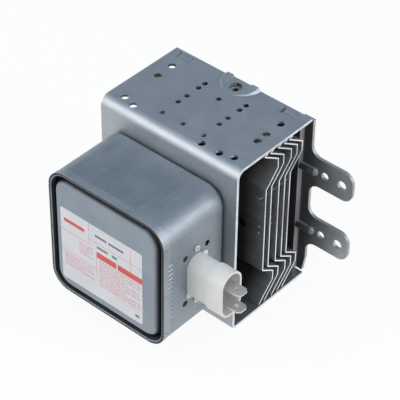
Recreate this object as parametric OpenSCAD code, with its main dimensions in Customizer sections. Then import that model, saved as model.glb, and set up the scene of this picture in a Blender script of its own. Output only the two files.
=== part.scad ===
// Magnetron of a microwave oven: a folded steel yoke round a finned copper tube and two ring magnets,
// with a screened filter box in front and the antenna behind.
// X runs between the yoke's open ends, Y along the tube towards the antenna, Z up.
// The origin is the centre of the antenna gasket's outer face, on the tube's axis.

/* [Yoke] */
// Width between the yoke's two open ends
yoke_w = 80; // [76:0.5:90]
// Height over the top and bottom walls
yoke_h = 92.8; // [90:0.2:100]
// Depth from the front wall's face to the back edge
yoke_d = 51; // [50:0.2:57]
// Thickness of the yoke's sheet
yoke_t = 1.4; // [1:0.1:1.8]
// Outer radius of the bend between top and front wall
top_bend_r = 5; // [2:0.5:8]
// Outer radius of the bend between bottom and front wall
bottom_bend_r = 2.4; // [2:0.2:8]
// Height of the pressed boss at the top wall's back edge
boss_h = 1.5; // [1:0.1:1.8]
// Width of the boss at its foot
boss_w = 21; // [19:0.5:22]
// Width of the boss on top
boss_top_w = 18; // [17:0.5:18.5]
// Width of the hollow in the boss
hollow_w = 10.9; // [10:0.1:11]
// Height of the hollow's floor over the top wall at the back edge
hollow_rise = 0.6; // [0.5:0.1:0.9]
// Depth of the hollow's floor under the top wall at its round end
hollow_deep = 0.2; // [0.1:0.05:0.25]
// Diameter of the hole in the hollow
boss_hole_d = 6; // [4:0.5:6.5]
// Distance of the hole in the hollow from the back edge
boss_hole_back = 5.3; // [5.2:0.1:5.6]
// Width of each bridge that is pressed in to stop the mounting plate
bridge_w = 6.6; // [5:0.2:7]
// Places of the bridges' middles along X
bridge_x = [-32.1, 29.8]; // [-33:0.1:31]
// Width of the slits beside a bridge
slit_w = 0.6; // [0.4:0.1:1]
// Length of the slits beside a bridge
slit_len = 4.4; // [3.6:0.2:5]
// How far a bridge is pressed inwards
bridge_drop = 0.8; // [0.5:0.1:1.2]
// Length of the slope at each end of a bridge
bridge_ramp = 1.4; // [1:0.1:1.7]

/* [Yoke holes] */
// Diameter of the holes in the two outer rows
large_hole_d = 3.7; // [3:0.1:4.2]
// Diameter of the holes in the three inner rows
small_hole_d = 2.7; // [2:0.1:3.2]
// Distance of the outer rows from the tube's axis
outer_row_x = 32; // [30:0.5:34]
// Distances of the right outer row's holes from the back edge
right_row_back = [12.3, 22, 28.2, 43.7]; // [9:0.1:45]
// Distances of the left outer row's holes from the back edge
left_row_back = [12.3, 22, 43.7]; // [9:0.1:45]
// Distance of the inner rows from the tube's axis
inner_row_x = 12.1; // [11:0.1:14]
// Distances of the first four holes of an inner row from the back edge
inner_row_back = [12.4, 16.7, 24.5, 30.4]; // [9:0.1:45]
// Distances of the two holes on the middle line from the back edge
middle_row_back = [16.8, 40.9]; // [14:0.1:45]
// Places along X of the holes beside the front bend
front_row_x = [-25.2, 15.2, 25.2]; // [-28:0.1:28]
// Distance of the front row from the back edge
front_row_back = 45.6; // [43:0.1:45.6]

/* [Mounting plate] */
// Thickness of the mounting plate
plate_t = 1.6; // [1.2:0.1:2]
// Width of the plate without its ears
plate_w = 80.4; // [78:0.2:90]
// How far the plate's margins stand behind its middle
plate_step = 2.3; // [1.6:0.1:3]
// Half width of the plate's flat middle
step_x = 34.3; // [33:0.1:36]
// Width of the slope between middle and margin
step_run = 0.7; // [0.5:0.1:1.5]
// Size of the cut corners on the side without ears
corner_cut = 9; // [4:0.5:12]
// Width of the slanted cut at the bottom corner on the side with ears
foot_cut = 1.5; // [0.5:0.1:2]
// Distance from the tube's axis to the tips of the ears
ear_reach = 64; // [60:0.5:70]
// Width of each ear
ear_w = 16; // [13:0.5:18]
// Distance between the middle lines of the two ears
ear_pitch = 35; // [32:0.5:40]
// Radius of the ear's tip corners
ear_tip_r = 5.5; // [3:0.5:6]
// Radius of the fillets at the ear's root
ear_root_r = 5.5; // [3:0.5:6]
// Distance from the tube's axis to the outer ear holes
outer_hole_x = 58; // [56:0.5:60]
// Diameter of the outer ear holes
outer_hole_d = 4.8; // [4:0.1:6]
// Distance from the tube's axis to the inner ear holes
inner_hole_x = 48.4; // [47.5:0.1:50]
// Diameter of the inner ear holes
inner_hole_d = 4; // [3:0.1:4.5]
// Radius of the stiffening bead at each ear's root
bead_r = 2.2; // [1.8:0.1:2.4]
// Distance from the tube's axis to the bead's end
bead_x = 42.6; // [41:0.1:43]
// Width of the tab that lies under the yoke's boss
tab_w = 9.6; // [8:0.2:10]
// Length of the tab in front of the plate
tab_len = 6.6; // [6.2:0.1:6.8]
// Diameter of the hole in the tab
tab_hole_d = 3; // [2:0.1:3.4]

/* [Cooling fins] */
// Thickness of a fin
fin_t = 0.6; // [0.4:0.1:0.8]
// How far a fin's ends stay back from the yoke's open ends
fin_inset = 0.5; // [0.2:0.1:2]
// Distance from the last fin to the anode's back end
fin_last = 0.7; // [0.4:0.1:4]
// Distances between neighbouring fins
fin_gaps = [3.8, 5.2, 4.1, 3.6]; // [3.4:0.1:5.4]
// How far a fold stands back from the flat part
fin_wave = 7.6; // [5:0.2:8]
// How far the outer edges stand in front of the flat part
fin_toe = 1.8; // [0.5:0.1:3]
// Height of a fold's steep side
fin_steep = 5; // [3.5:0.1:6]
// Height of a fold's gentle side
fin_slow = 8.3; // [6:0.1:9]
// Height of the straight run between a fold's two sides
fin_run = 5.2; // [3:0.1:6]
// Height of the lip under the top wall
fin_lip = 1.8; // [1.4:0.1:2.4]
// How far the lip leans back
fin_lip_run = 2.2; // [1:0.1:2.4]
// Length of the collar round the anode
fin_collar = 2.4; // [1:0.1:2.6]
// Width of the lanced tab near each end of a fin
lance_w = 3.4; // [2:0.1:5]
// Length of the lanced tab
lance_len = 2.2; // [1:0.1:2.4]
// Height of the lanced tab over the tube's axis
lance_z = 18.4; // [10:0.2:20]
// Distance of the round holes from the tube's axis along X
fin_hole_x = 26.4; // [25:0.2:30]
// Distance of the round holes below the tube's axis
fin_hole_z = 2.5; // [0:0.1:5]
// Diameter of the round holes
fin_hole_d = 4.5; // [3:0.1:6]
// Distance of the pin holes from a fin's end
pin_hole_in = 2.6; // [2:0.1:4]
// Half the distance between the two pin holes
pin_hole_z = 1.9; // [1.2:0.1:3]
// Distance of the pin holes' middle below the tube's axis
pin_hole_low = 0.9; // [0:0.1:2]
// Diameter of the pin holes
pin_hole_d = 1.3; // [0.8:0.1:1.8]

/* [Magnets] */
// Outer diameter of the ring magnets
magnet_d = 46; // [42:0.5:46.5]
// Bore of the ring magnets
magnet_bore = 20.4; // [19.6:0.2:24]
// Thickness of the front magnet
front_magnet_t = 12; // [10:0.2:13]
// Thickness of the rear magnet
rear_magnet_t = 10.4; // [9:0.2:10.6]

/* [Tube] */
// Outer diameter of the anode
anode_d = 39; // [37:0.5:41]
// Wall of the anode
anode_wall = 2.5; // [2:0.1:3]
// Number of vanes in the anode
vane_count = 10; // [8:2:10]
// Thickness of a vane
vane_t = 2; // [1.5:0.1:2.3]
// Height of a vane along the tube
vane_h = 9.5; // [8.5:0.1:10.5]
// Radius of the space that the vanes leave round the cathode
vane_bore_r = 4.6; // [4.4:0.1:5]
// Mean radius of the inner strap rings
inner_strap_r = 6.9; // [6.5:0.1:7.3]
// Mean radius of the outer strap rings
outer_strap_r = 9.2; // [9:0.1:9.6]
// Thickness of a strap ring
strap_t = 0.8; // [0.5:0.1:1]
// Height of a strap ring
strap_h = 1.4; // [1:0.1:1.8]
// Room round a strap where it passes a vane without touching it
strap_room = 0.5; // [0.3:0.1:0.6]
// Thickness of the pole pieces
pole_t = 1.6; // [1.2:0.1:2]
// Gap between a pole piece's tip and the vanes
pole_gap = 1; // [0.8:0.1:1.6]
// Radius where a pole piece starts to dish
pole_flat_r = 12.5; // [11:0.1:14]
// Radius of a pole piece's flat tip
pole_tip_r = 7; // [6.4:0.1:8]
// Radius of the hole in a pole piece
pole_hole_r = 4.7; // [4.6:0.1:5.4]
// Diameter of the seal cups
cup_d = 18.6; // [17:0.2:18.8]
// Thickness of the seal cups' sheet
cup_t = 0.5; // [0.4:0.05:0.7]
// Diameter of the seal cups' flanges
cup_flange_d = 37; // [34:0.5:38]
// How far the front cup reaches in front of the yoke
front_cup_reach = 6; // [4:0.2:8]
// Hole in the front cup's end
front_cup_hole_d = 12.6; // [12:0.2:14]
// How far the rear cup reaches behind the gasket's face
rear_cup_reach = 1.2; // [0.8:0.1:3]
// Hole in the rear cup's end
rear_cup_hole_d = 11.2; // [10:0.2:12]

/* [Cathode] */
// Height of the filament between its end shields
filament_h = 9; // [8:0.2:9.6]
// Mean radius of the filament
filament_r = 1.9; // [1.7:0.1:2.2]
// Diameter of the filament's wire
filament_wire_d = 0.5; // [0.4:0.05:0.6]
// Turns of the filament
filament_turns = 8; // [6:1:9]
// Radius of the end shields
shield_r = 3.7; // [3.4:0.1:4]
// Thickness of the end shields
shield_t = 1.2; // [0.8:0.1:1.6]
// Diameter of the cathode's leads
lead_d = 1.4; // [1:0.1:1.6]
// Distance of the side lead from the axis at the shield
side_lead_z = 2.7; // [2.6:0.1:2.8]
// Distance in front of the anode where the leads start to part
lead_bend = 2; // [1:0.2:4]
// Length over which the leads part
lead_slant = 6; // [5:0.2:8]
// Distance of both leads from the axis in the stem
stem_lead_z = 4; // [3.6:0.1:4.4]
// Diameter of the stem's ceramic
stem_d = 15; // [14:0.2:17]
// Length of the stem's ceramic
stem_len = 8; // [6:0.2:10]
// Diameter of the stem's terminals
stem_terminal_d = 3; // [2.4:0.1:3.6]
// Length of the stem's terminals
stem_terminal_len = 4; // [3.2:0.1:6]

/* [Antenna] */
// Thickness of the gasket
gasket_t = 4.5; // [3.5:0.1:6]
// Outer diameter of the gasket
gasket_d = 31; // [27:0.5:34]
// Radius of the gasket's edges
gasket_edge_r = 1.5; // [0.5:0.1:1.7]
// Diameter of the antenna's ceramic
antenna_ceramic_d = 16; // [15.4:0.2:17]
// Bore of the antenna's ceramic
antenna_ceramic_bore = 11.4; // [10:0.2:12]
// Length of the antenna's ceramic
antenna_ceramic_len = 8.2; // [6:0.2:11]
// Diameter of the antenna cap
cap_d = 14.8; // [13:0.2:15.2]
// Length of the antenna cap
cap_len = 14.4; // [13:0.2:17]
// Thickness of the antenna cap
cap_t = 0.5; // [0.4:0.05:0.8]
// Radius of the antenna cap's end edge
cap_edge_r = 1.6; // [0.9:0.1:3]
// Diameter of the exhaust stem's tube
exhaust_d = 8; // [6:0.2:9]
// Wall of the exhaust stem's tube
exhaust_wall = 0.7; // [0.5:0.1:1]
// Length of the exhaust stem's tube
exhaust_len = 6; // [5:0.2:6.4]
// Length of the exhaust stem's pinched end
pinch_len = 5.6; // [4:0.2:6]
// Diameter of the antenna lead
antenna_lead_d = 2.2; // [1.6:0.1:2.6]
// Radius at which the antenna lead meets its vane
antenna_lead_r = 12.4; // [11.4:0.1:13]
// Length of the antenna lead's straight start behind its vane
antenna_lead_rise = 1.5; // [1:0.1:2]
// Distance behind the anode where the antenna lead reaches the axis
antenna_lead_slant = 4; // [3:0.1:5]

/* [Filter box] */
// Outer width of the filter box over its rim
box_w = 68.4; // [64:0.2:76]
// Outer height of the filter box over its rim
box_h = 68.4; // [64:0.2:84]
// Depth of the filter box
box_d = 40; // [38:0.2:46]
// Thickness of the filter box's sheet
box_t = 0.7; // [0.5:0.05:1]
// Radius of the filter box's corners
box_corner_r = 10; // [8:0.2:14]
// Radius of the edge round the filter box's base
box_edge_r = 3; // [1.5:0.1:4]
// Width of the thicker band along the filter box's rim
band_w = 2.8; // [2:0.1:4]
// How far the band stands out from the wall
band_t = 0.2; // [0.1:0.05:0.3]
// Width of the nicks in the band beside each corner
nick_w = 0.5; // [0.3:0.1:1]
// Depth of the nicks in the band
nick_deep = 0.3; // [0.15:0.05:0.4]
// Number of pressed dents in each side wall
dent_count = 13; // [5:1:15]
// Distance between neighbouring dents
dent_pitch = 2.5; // [2.3:0.1:2.7]
// Length of a dent
dent_len = 3.2; // [2:0.1:4]
// Radius of a dent's hollow
dent_r = 1; // [0.8:0.1:1.1]
// Depth of a dent
dent_deep = 0.35; // [0.2:0.05:0.4]
// Distance of the dents' row below the tube's axis
dent_z = 1; // [-2:0.1:4]
// Distance of the box's rivets from the tube's axis along X and along Z
box_rivet_at = 25; // [24:0.5:26]
// Diameter of the box rivets' shanks
box_rivet_d = 3; // [2.4:0.1:4]
// Diameter of the box rivets' heads
box_rivet_head_d = 5.4; // [4.4:0.1:6]
// Height of the rivets' heads
rivet_head_h = 0.9; // [0.6:0.1:1]

/* [Filter lid] */
// Thickness of the lid's sheet
lid_t = 0.6; // [0.4:0.05:0.8]
// Depth of the groove round the lid's raised middle
lid_depth = 6; // [4:0.2:7]
// Distance from the box's outline to the raised middle
panel_inset = 3.2; // [3:0.1:5]
// How far the raised middle stands in front of the rim
panel_proud = 0.4; // [0:0.1:1]
// Radius of the raised middle's corners
panel_corner_r = 8.4; // [6:0.1:9]
// Radius of the raised middle's front edge
panel_edge_r = 3; // [1:0.1:3.6]
// Width of the sticker on the lid
label_w = 49; // [30:0.5:52]
// Height of the sticker on the lid
label_h = 41.5; // [30:0.5:43]
// Radius of the sticker's corners
label_corner_r = 1.5; // [0.5:0.1:3]
// Thickness of the sticker
label_t = 0.12; // [0.08:0.02:0.3]
// Place of the sticker's middle along X
label_x = -2.5; // [-4:0.1:4]
// Place of the sticker's middle along Z
label_z = -4.9; // [-5.4:0.1:4]

/* [Capacitor] */
// Distance of the capacitor's axis in front of the yoke
cap_front = 18.8; // [17:0.2:20]
// Height of the capacitor's axis over the tube's axis
cap_z = -2.1; // [-4:0.1:2]
// Width of the sleeve's root
sleeve_w = 12; // [11:0.2:13]
// Height of the sleeve's root
sleeve_h = 23.2; // [22:0.2:25]
// Length of the sleeve outside the box
sleeve_len = 20.2; // [18:0.2:24]
// How much wider the sleeve's outer half is on each side
sleeve_lip = 0.7; // [0.3:0.1:1]
// Length of the sleeve's root outside the box
sleeve_root_len = 11.5; // [8:0.5:14]
// Wall of the sleeve's outer half
sleeve_wall = 1.1; // [0.8:0.1:1.4]
// Thickness of the floor in the sleeve
sleeve_floor = 2; // [1.5:0.1:3]
// Depth of the socket over the potting
socket_depth = 9; // [8:0.2:10]
// Thickness of the potting in the socket
potting_t = 2.4; // [1:0.1:3]
// Diameter of the sleeve's two feet on the box
foot_d = 3.6; // [3:0.1:4]
// Height of the feet
foot_h = 0.9; // [0.6:0.1:1.4]
// Distance of the feet from the capacitor's axis along Y
foot_y = 4.9; // [4.6:0.1:5.2]
// Distance of the feet from the capacitor's axis along Z
foot_z = 8.9; // [8.4:0.1:9.2]
// Width of the spade blades
blade_w = 6.3; // [4.8:0.1:6.4]
// Thickness of the spade blades
blade_t = 0.8; // [0.5:0.1:1]
// Distance between the two blades
blade_pitch = 9.7; // [9:0.1:11]
// How far the blades reach past the sleeve
blade_proud = 7.2; // [4:0.2:9]
// Chamfer at the blades' tips
blade_chamfer = 1.4; // [0.6:0.1:2]
// Diameter of the detent hole in a blade
blade_hole_d = 1.8; // [1.2:0.1:2.4]
// Distance of the detent hole from the blade's tip
blade_hole_back = 4.2; // [3:0.1:5]
// Width of a blade's tail inside the box
tail_w = 4.4; // [3:0.1:5]
// How far a blade's tail reaches behind the capacitor's body
tail_reach = 4; // [3:0.1:5]
// Thickness of the flange behind the box's wall
cap_flange_t = 1; // [0.8:0.1:1.4]
// Width of the flange
cap_flange_w = 16.4; // [16:0.2:18]
// Length of the capacitor's body inside the box
cap_body_len = 8; // [6:0.2:9]
// Distance of the capacitor's rivets from its axis
cap_rivet_z = 15; // [14.8:0.1:16]
// Diameter of the capacitor rivets' shanks
cap_rivet_d = 2.2; // [1.8:0.1:2.6]
// Diameter of the hollow in the capacitor rivets' ends
cap_rivet_bore = 1.4; // [0.8:0.1:1.6]
// Diameter of the capacitor rivets' heads
cap_rivet_head_d = 3.2; // [3:0.1:4]
// Distance of the vent holes from the capacitor's axis along Y
vent_y = 7.1; // [6.9:0.1:8]
// Distance of the vent holes from the capacitor's axis along Z
vent_z = 13.2; // [12.6:0.1:14]
// Diameter of the vent holes
vent_d = 3.2; // [2.4:0.1:3.4]

/* [Chokes] */
// Mean radius of the choke coils
choke_r = 4.2; // [3.6:0.1:4.6]
// Diameter of the choke coils' wire
choke_wire_d = 1.4; // [1:0.1:1.6]
// Distance between neighbouring turns
choke_pitch = 1.9; // [1.8:0.1:2.2]
// Turns of a choke coil
choke_turns = 9; // [6:1:10]
// How far a ferrite core stands out of its coil at each end
core_proud = 1.4; // [0.5:0.1:2]

/* [Fits] */
// Clearance between pieces that are pressed or slid together
fit = 0.05; // [0.02:0.01:0.1]
// Clearance of holes and slots that pieces pass through freely
room = 0.4; // [0.3:0.05:0.6]

/* [Hidden] */
$fn = 48;
wire_sides = 6;
wire_steps = 14;
past = 1;
far = 300;

// Planes along Y, from the gasket's face at zero towards the front
plate_mid_back = -gasket_t;
plate_mid_front = plate_mid_back - plate_t;
margin_back = plate_mid_back + plate_step;
margin_front = margin_back - plate_t;
yoke_back = plate_mid_back;
yoke_front = yoke_back - yoke_d;
wall_front = yoke_front + yoke_t;
anode_front = wall_front + front_magnet_t + cup_t;
anode_back = plate_mid_front - rear_magnet_t - cup_t;
anode_mid = (anode_front + anode_back) / 2;
rim_y = yoke_front - box_d;
box_base_y = yoke_front - box_t;
lid_floor_y = rim_y + lid_depth - lid_t;
panel_y = rim_y - panel_proud;
cap_y = yoke_front - cap_front;

// Heights of the yoke's walls
yoke_top = yoke_h / 2;
wall_top = yoke_top - yoke_t;
plate_top = wall_top - 2 * fit;
boss_hole_y = yoke_back - boss_hole_back;
hollow_front = boss_hole_y - hollow_w / 2;
slit_back = plate_mid_front - fit;
slit_front = slit_back - slit_len;

// Fixing holes of the top and bottom wall as [x, distance from the back edge, diameter]
wall_holes = concat(
    [for (b = right_row_back) [outer_row_x, b, large_hole_d]],
    [for (b = left_row_back) [-outer_row_x, b, large_hole_d]],
    [for (x = front_row_x) [x, front_row_back, large_hole_d]],
    [for (b = middle_row_back) [0, b, small_hole_d]],
    [for (x = [-inner_row_x, inner_row_x], b = inner_row_back) [x, b, small_hole_d]],
    [for (x = [-inner_row_x, inner_row_x]) [x, middle_row_back[1], small_hole_d]]
);

// Tube
anode_r = anode_d / 2;
anode_in_r = anode_r - anode_wall;
anode_len = anode_back - anode_front;
pole_seat_r = anode_in_r + anode_wall / 3;
pole_depth = (anode_len - vane_h) / 2 - pole_gap;
cup_r = cup_d / 2;
cup_hole_r = cup_r + room;
front_cup_len = anode_front - yoke_front + front_cup_reach;
rear_cup_len = rear_cup_reach - anode_back;
vane_front = anode_mid - vane_h / 2;
vane_back = anode_mid + vane_h / 2;

// Cathode and stem
lead_r = lead_d / 2;
shield_front_y = anode_mid - filament_h / 2;
shield_back_y = anode_mid + filament_h / 2;
stem_back = yoke_front - front_cup_reach;
stem_front = stem_back - stem_len;
lead_bend_y = anode_front - lead_bend;
lead_straight_y = lead_bend_y - lead_slant;
lead_end_y = stem_front - stem_terminal_len / 2;
terminal_front = stem_front - stem_terminal_len;

// Antenna
ceramic_back = rear_cup_reach + antenna_ceramic_len;
exhaust_flange_t = 2 * cup_t;
pinch_y = ceramic_back + exhaust_len;
lead_axis_y = anode_back + antenna_lead_slant;

// Fins
fin_half_w = yoke_w / 2 - fin_inset;
fin_bore_r = anode_r + fit;
fin_reach = fin_wave + fin_toe;
fin_end_z = wall_top - room;
fin_z1 = wall_top - fin_lip - fin_steep * fin_reach / fin_wave;
fin_z2 = fin_z1 - fin_run;
fin_z3 = fin_z2 - fin_slow;
fin_z6 = fin_slow * fin_reach / fin_wave - fin_end_z;
fin_z5 = fin_z6 + fin_run;
fin_z4 = fin_z5 + fin_steep;
fin_path = [
    [fin_lip_run - fin_toe, fin_end_z],
    [-fin_toe, wall_top - fin_lip],
    [fin_wave, fin_z1],
    [fin_wave, fin_z2],
    [0, fin_z3],
    [0, fin_z4],
    [fin_wave, fin_z5],
    [fin_wave, fin_z6],
    [-fin_toe, -fin_end_z],
];

// Filter box, lid and capacitor
wall_w = box_w - 2 * band_t;
wall_h = box_h - 2 * band_t;
wall_corner_r = box_corner_r - band_t;
box_half = wall_w / 2;
box_in_half = box_half - box_t;
lid_w = wall_w - 2 * box_t - 2 * fit;
lid_h = wall_h - 2 * box_t - 2 * fit;
lid_corner_r = wall_corner_r - box_t - fit;
panel_w = box_w - 2 * panel_inset;
panel_h = box_h - 2 * panel_inset;
panel_depth = lid_depth + panel_proud;
flange_in = box_in_half - cap_flange_t;
sleeve_rim = box_half + sleeve_len;
sleeve_step = box_half + sleeve_root_len;
socket_w = sleeve_w + 2 * (sleeve_lip - sleeve_wall);
socket_h = sleeve_h + 2 * (sleeve_lip - sleeve_wall);
socket_floor = sleeve_rim - socket_depth - potting_t;
sleeve_back = socket_floor - sleeve_floor;
body_back = flange_in - cap_body_len;
blade_tip = sleeve_rim + blade_proud;
tail_x = body_back - tail_reach;
choke_wire_r = choke_wire_d / 2;
choke_y = terminal_front - fit - choke_wire_r - choke_r;
choke_top = stem_lead_z + choke_pitch * choke_turns;
core_r = choke_r - choke_wire_r - 4 * fit;

FIN_COUNT = len(fin_gaps) + 1;

// Helpers: outlines and sweeps

function unit(v) = v / norm(v);
function left_of(v) = [-v.y, v.x];
function side_at(path, i) = left_of(unit(path[i + 1] - path[i]));

// Direction and length of the mitred corner at point i of a path
function mitre(path, i) =
    let (a = side_at(path, max(i - 1, 0)), b = side_at(path, min(i, len(path) - 2)))
    (a + b) / (1 + a * b);

// Path moved sideways by d
function beside(path, d) = [for (i = [0:len(path) - 1]) path[i] + d * mitre(path, i)];

function backwards(list) = [for (i = [len(list) - 1:-1:0]) list[i]];

// Closed outline of a folded sheet of thickness t whose middle follows a path
function folded(path, t) = concat(beside(path, t / 2), backwards(beside(path, -t / 2)));

// Fin i's flat part along Y, counted from 1
function fin_y(i) = i == FIN_COUNT ? anode_back - fin_last : fin_y(i + 1) - fin_gaps[i - 1];

// Turns of a coil that starts on +Y and winds clockwise round Z
function coil_path(r, pitch, turns) = [
    for (k = [0:turns * wire_steps])
        let (angle = 90 - 360 * k / wire_steps)
        [r * cos(angle), r * sin(angle), pitch * k / wire_steps]
];

// Round wire along a path that never runs along Z
module wire(path, r) {
    last = len(path) - 1;
    rings = [
        for (i = [0:last])
            let (
                ahead = unit(path[min(i + 1, last)] - path[max(i - 1, 0)]),
                across = unit(cross(ahead, [0, 0, 1])),
                over = cross(across, ahead)
            )
            for (k = [0:wire_sides - 1])
                path[i] + r * cos(360 * k / wire_sides) * across + r * sin(360 * k / wire_sides) * over
    ];
    walls = [
        for (i = [0:last - 1], k = [0:wire_sides - 1])
            let (j = (k + 1) % wire_sides, here = i * wire_sides, next = here + wire_sides)
            for (corner = [[here + k, next + k, next + j], [here + k, next + j, here + j]])
                corner
    ];
    first_end = [for (k = [0:wire_sides - 1]) k];
    last_end = [for (k = [wire_sides - 1:-1:0]) last * wire_sides + k];
    polyhedron(rings, concat(walls, [first_end, last_end]));
}

// Round rod from point a to point b
module rod(a, b, r) {
    v = b - a;
    translate(a)
        rotate([0, acos(v.z / norm(v)), atan2(v.y, v.x)])
            cylinder(h = norm(v), r = r);
}

module rounded_rect(w, h, r) {
    square([w - 2 * r, h], center = true);
    square([w, h - 2 * r], center = true);
    for (x = [-1, 1], y = [-1, 1])
        translate([x * (w / 2 - r), y * (h / 2 - r)]) circle(r);
}

// Upright oblong with round ends
module oblong(w, h) {
    square([w, h - w], center = true);
    for (y = [-1, 1])
        translate([0, y * (h - w) / 2]) circle(d = w);
}

// Draws an outline in X and Z and gives it a thickness from y0 to y1
module across_y(y0, y1) {
    translate([0, y1, 0]) rotate([90, 0, 0]) linear_extrude(y1 - y0) children();
}

// Draws an outline in Y and Z and gives it a thickness from x0 to x1
module across_x(x0, x1) {
    translate([x0, 0, 0]) rotate([90, 0, 90]) linear_extrude(x1 - x0) children();
}

// Turned shape round the tube's axis whose profile runs backwards from y
module turned_back(y) {
    translate([0, y, 0]) rotate([-90, 0, 0]) rotate_extrude() children();
}

// Turned shape round the tube's axis whose profile runs forwards from y
module turned_front(y) {
    translate([0, y, 0]) rotate([90, 0, 0]) rotate_extrude() children();
}

module ring(y0, y1, r_out, r_in) {
    turned_back(y0) translate([r_in, 0]) square([r_out - r_in, y1 - y0]);
}

// Solid of a drawn pan: round corners, a round edge at the closed end at z = 0, cut square at z = depth
module drawn(w, h, depth, corner_r, edge_r) {
    flat_w = w - 2 * corner_r;
    flat_h = h - 2 * corner_r;
    translate([0, 0, depth / 2]) cube([flat_w, flat_h, depth], center = true);
    for (k = [0:3]) {
        along = k % 2 == 0 ? flat_h : flat_w;
        out = k % 2 == 0 ? flat_w / 2 : flat_h / 2;
        rotate([0, 0, 90 * k]) {
            translate([out, along / 2, 0]) {
                rotate([90, 0, 0]) linear_extrude(along) drawn_edge(corner_r, depth, edge_r);
                rotate_extrude(angle = 90) drawn_edge(corner_r, depth, edge_r);
            }
        }
    }
}

module drawn_edge(reach, depth, edge_r) {
    translate([0, edge_r]) square([reach, depth - edge_r]);
    square([reach - edge_r, depth]);
    translate([reach - edge_r, edge_r]) circle(edge_r);
}

// Yoke and mounting plate

// Outline of the folded sheet's outer or inner face in Y and Z, open towards the back
module yoke_side(inset, back) {
    front = yoke_front + inset;
    top_r = top_bend_r - inset;
    bottom_r = bottom_bend_r - inset;
    top = yoke_top - inset;
    translate([front + top_r, top - top_r]) circle(top_r);
    translate([front + bottom_r, bottom_r - top]) circle(bottom_r);
    translate([front, bottom_r - top]) square([back - front, 2 * top - top_r - bottom_r]);
    translate([front + top_r, 0]) square([back - front - top_r, top]);
    translate([front + bottom_r, -top]) square([back - front - bottom_r, top]);
}

// Pressed boss whose foot lies at height z: highest at the back edge, round and flat in front
module boss_form(z, back) {
    intersection() {
        translate([0, yoke_back, z]) cylinder(h = boss_h, d1 = boss_w, d2 = boss_top_w);
        across_x(-boss_w, boss_w)
            polygon([
                [yoke_back - boss_w / 2, z],
                [back, z],
                [back, z + boss_h],
                [yoke_back, z + boss_h],
            ]);
    }
}

// Part of a tall prism over the hollow's plan, widened by grow, that an outline in Y and Z keeps
module hollow_form(grow, back) {
    r = hollow_w / 2 + grow;
    intersection() {
        linear_extrude(far) {
            translate([0, boss_hole_y]) circle(r);
            translate([-r, boss_hole_y]) square([2 * r, back - boss_hole_y]);
        }
        across_x(-boss_w, boss_w) children();
    }
}

// Sloping sheet that is the hollow's floor and joins the boss all round
module hollow_floor() {
    front = hollow_front - yoke_t;
    hollow_form(yoke_t / 2, yoke_back)
        polygon([
            [front, wall_top - hollow_deep],
            [hollow_front, wall_top - hollow_deep],
            [yoke_back, wall_top + hollow_rise],
            [yoke_back, yoke_top + hollow_rise],
            [hollow_front, yoke_top - hollow_deep],
            [front, yoke_top - hollow_deep],
        ]);
}

// Space over the hollow's floor
module hollow_space() {
    hollow_form(0, yoke_back + past)
        polygon([
            [hollow_front - past, yoke_top - hollow_deep],
            [hollow_front, yoke_top - hollow_deep],
            [yoke_back, yoke_top + hollow_rise],
            [yoke_back + past, yoke_top + hollow_rise],
            [yoke_back + past, yoke_top + 2 * boss_h],
            [hollow_front - past, yoke_top + 2 * boss_h],
        ]);
}

// Bridge of the top wall between two slits, pressed in so that it stops the mounting plate
module bridge() {
    across_x(-bridge_w / 2, bridge_w / 2)
        polygon(concat(bridge_line(yoke_top), backwards(bridge_line(wall_top))));
}

// Line in Y and Z along a bridge's face that lies at height z at both ends
function bridge_line(z) = [
    [slit_front - past, z],
    [slit_front, z],
    [slit_front + bridge_ramp, z - bridge_drop],
    [slit_back - bridge_ramp, z - bridge_drop],
    [slit_back, z],
    [slit_back + past, z],
];

// Places a piece of the top wall at all four bridges
module at_bridges() {
    for (x = bridge_x, up = [0, 1])
        translate([x, 0, 0]) mirror([0, 0, up]) children();
}

module yoke() {
    color("lightslategray") {
        difference() {
            union() {
                across_x(-yoke_w / 2, yoke_w / 2)
                    difference() {
                        yoke_side(0, yoke_back);
                        yoke_side(yoke_t, yoke_back + past);
                    }
                boss_form(yoke_top, yoke_back);
                hollow_floor();
            }
            difference() {
                boss_form(wall_top, yoke_back + past);
                hollow_floor();
            }
            hollow_space();
            translate([0, boss_hole_y, 0]) cylinder(h = far, d = boss_hole_d);
            for (hole = wall_holes)
                translate([hole.x, yoke_back - hole.y, -far]) cylinder(h = 2 * far, d = hole.z);
            at_bridges()
                translate([-bridge_w / 2 - slit_w, slit_front, wall_top - past])
                    cube([bridge_w + 2 * slit_w, slit_len, yoke_t + 2 * past]);
            turned_front(wall_front + past) square([cup_hole_r, yoke_t + 2 * past]);
            for (x = [-1, 1], z = [-1, 1])
                translate([x * box_rivet_at, 0, z * box_rivet_at])
                    across_y(yoke_front - past, wall_front + past) circle(d = box_rivet_d + 2 * fit);
        }
        at_bridges() bridge();
    }
}

module ear_outline() {
    square_len = ear_reach - ear_tip_r;
    translate([0, -ear_w / 2]) square([square_len, ear_w]);
    translate([square_len - past, ear_tip_r - ear_w / 2])
        square([ear_tip_r + past, ear_w - 2 * ear_tip_r]);
    for (z = [-1, 1]) {
        translate([square_len, z * (ear_w / 2 - ear_tip_r)]) circle(ear_tip_r);
        difference() {
            translate([plate_w / 2 - past, z * (ear_w + ear_root_r) / 2])
                square([2 * (ear_root_r + past), ear_root_r + past], center = true);
            translate([plate_w / 2 + ear_root_r, z * (ear_w / 2 + ear_root_r)]) circle(ear_root_r);
            translate([plate_w / 2 + ear_root_r, z * (ear_w / 2 + ear_root_r) - ear_root_r])
                square(2 * ear_root_r);
        }
    }
}

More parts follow.
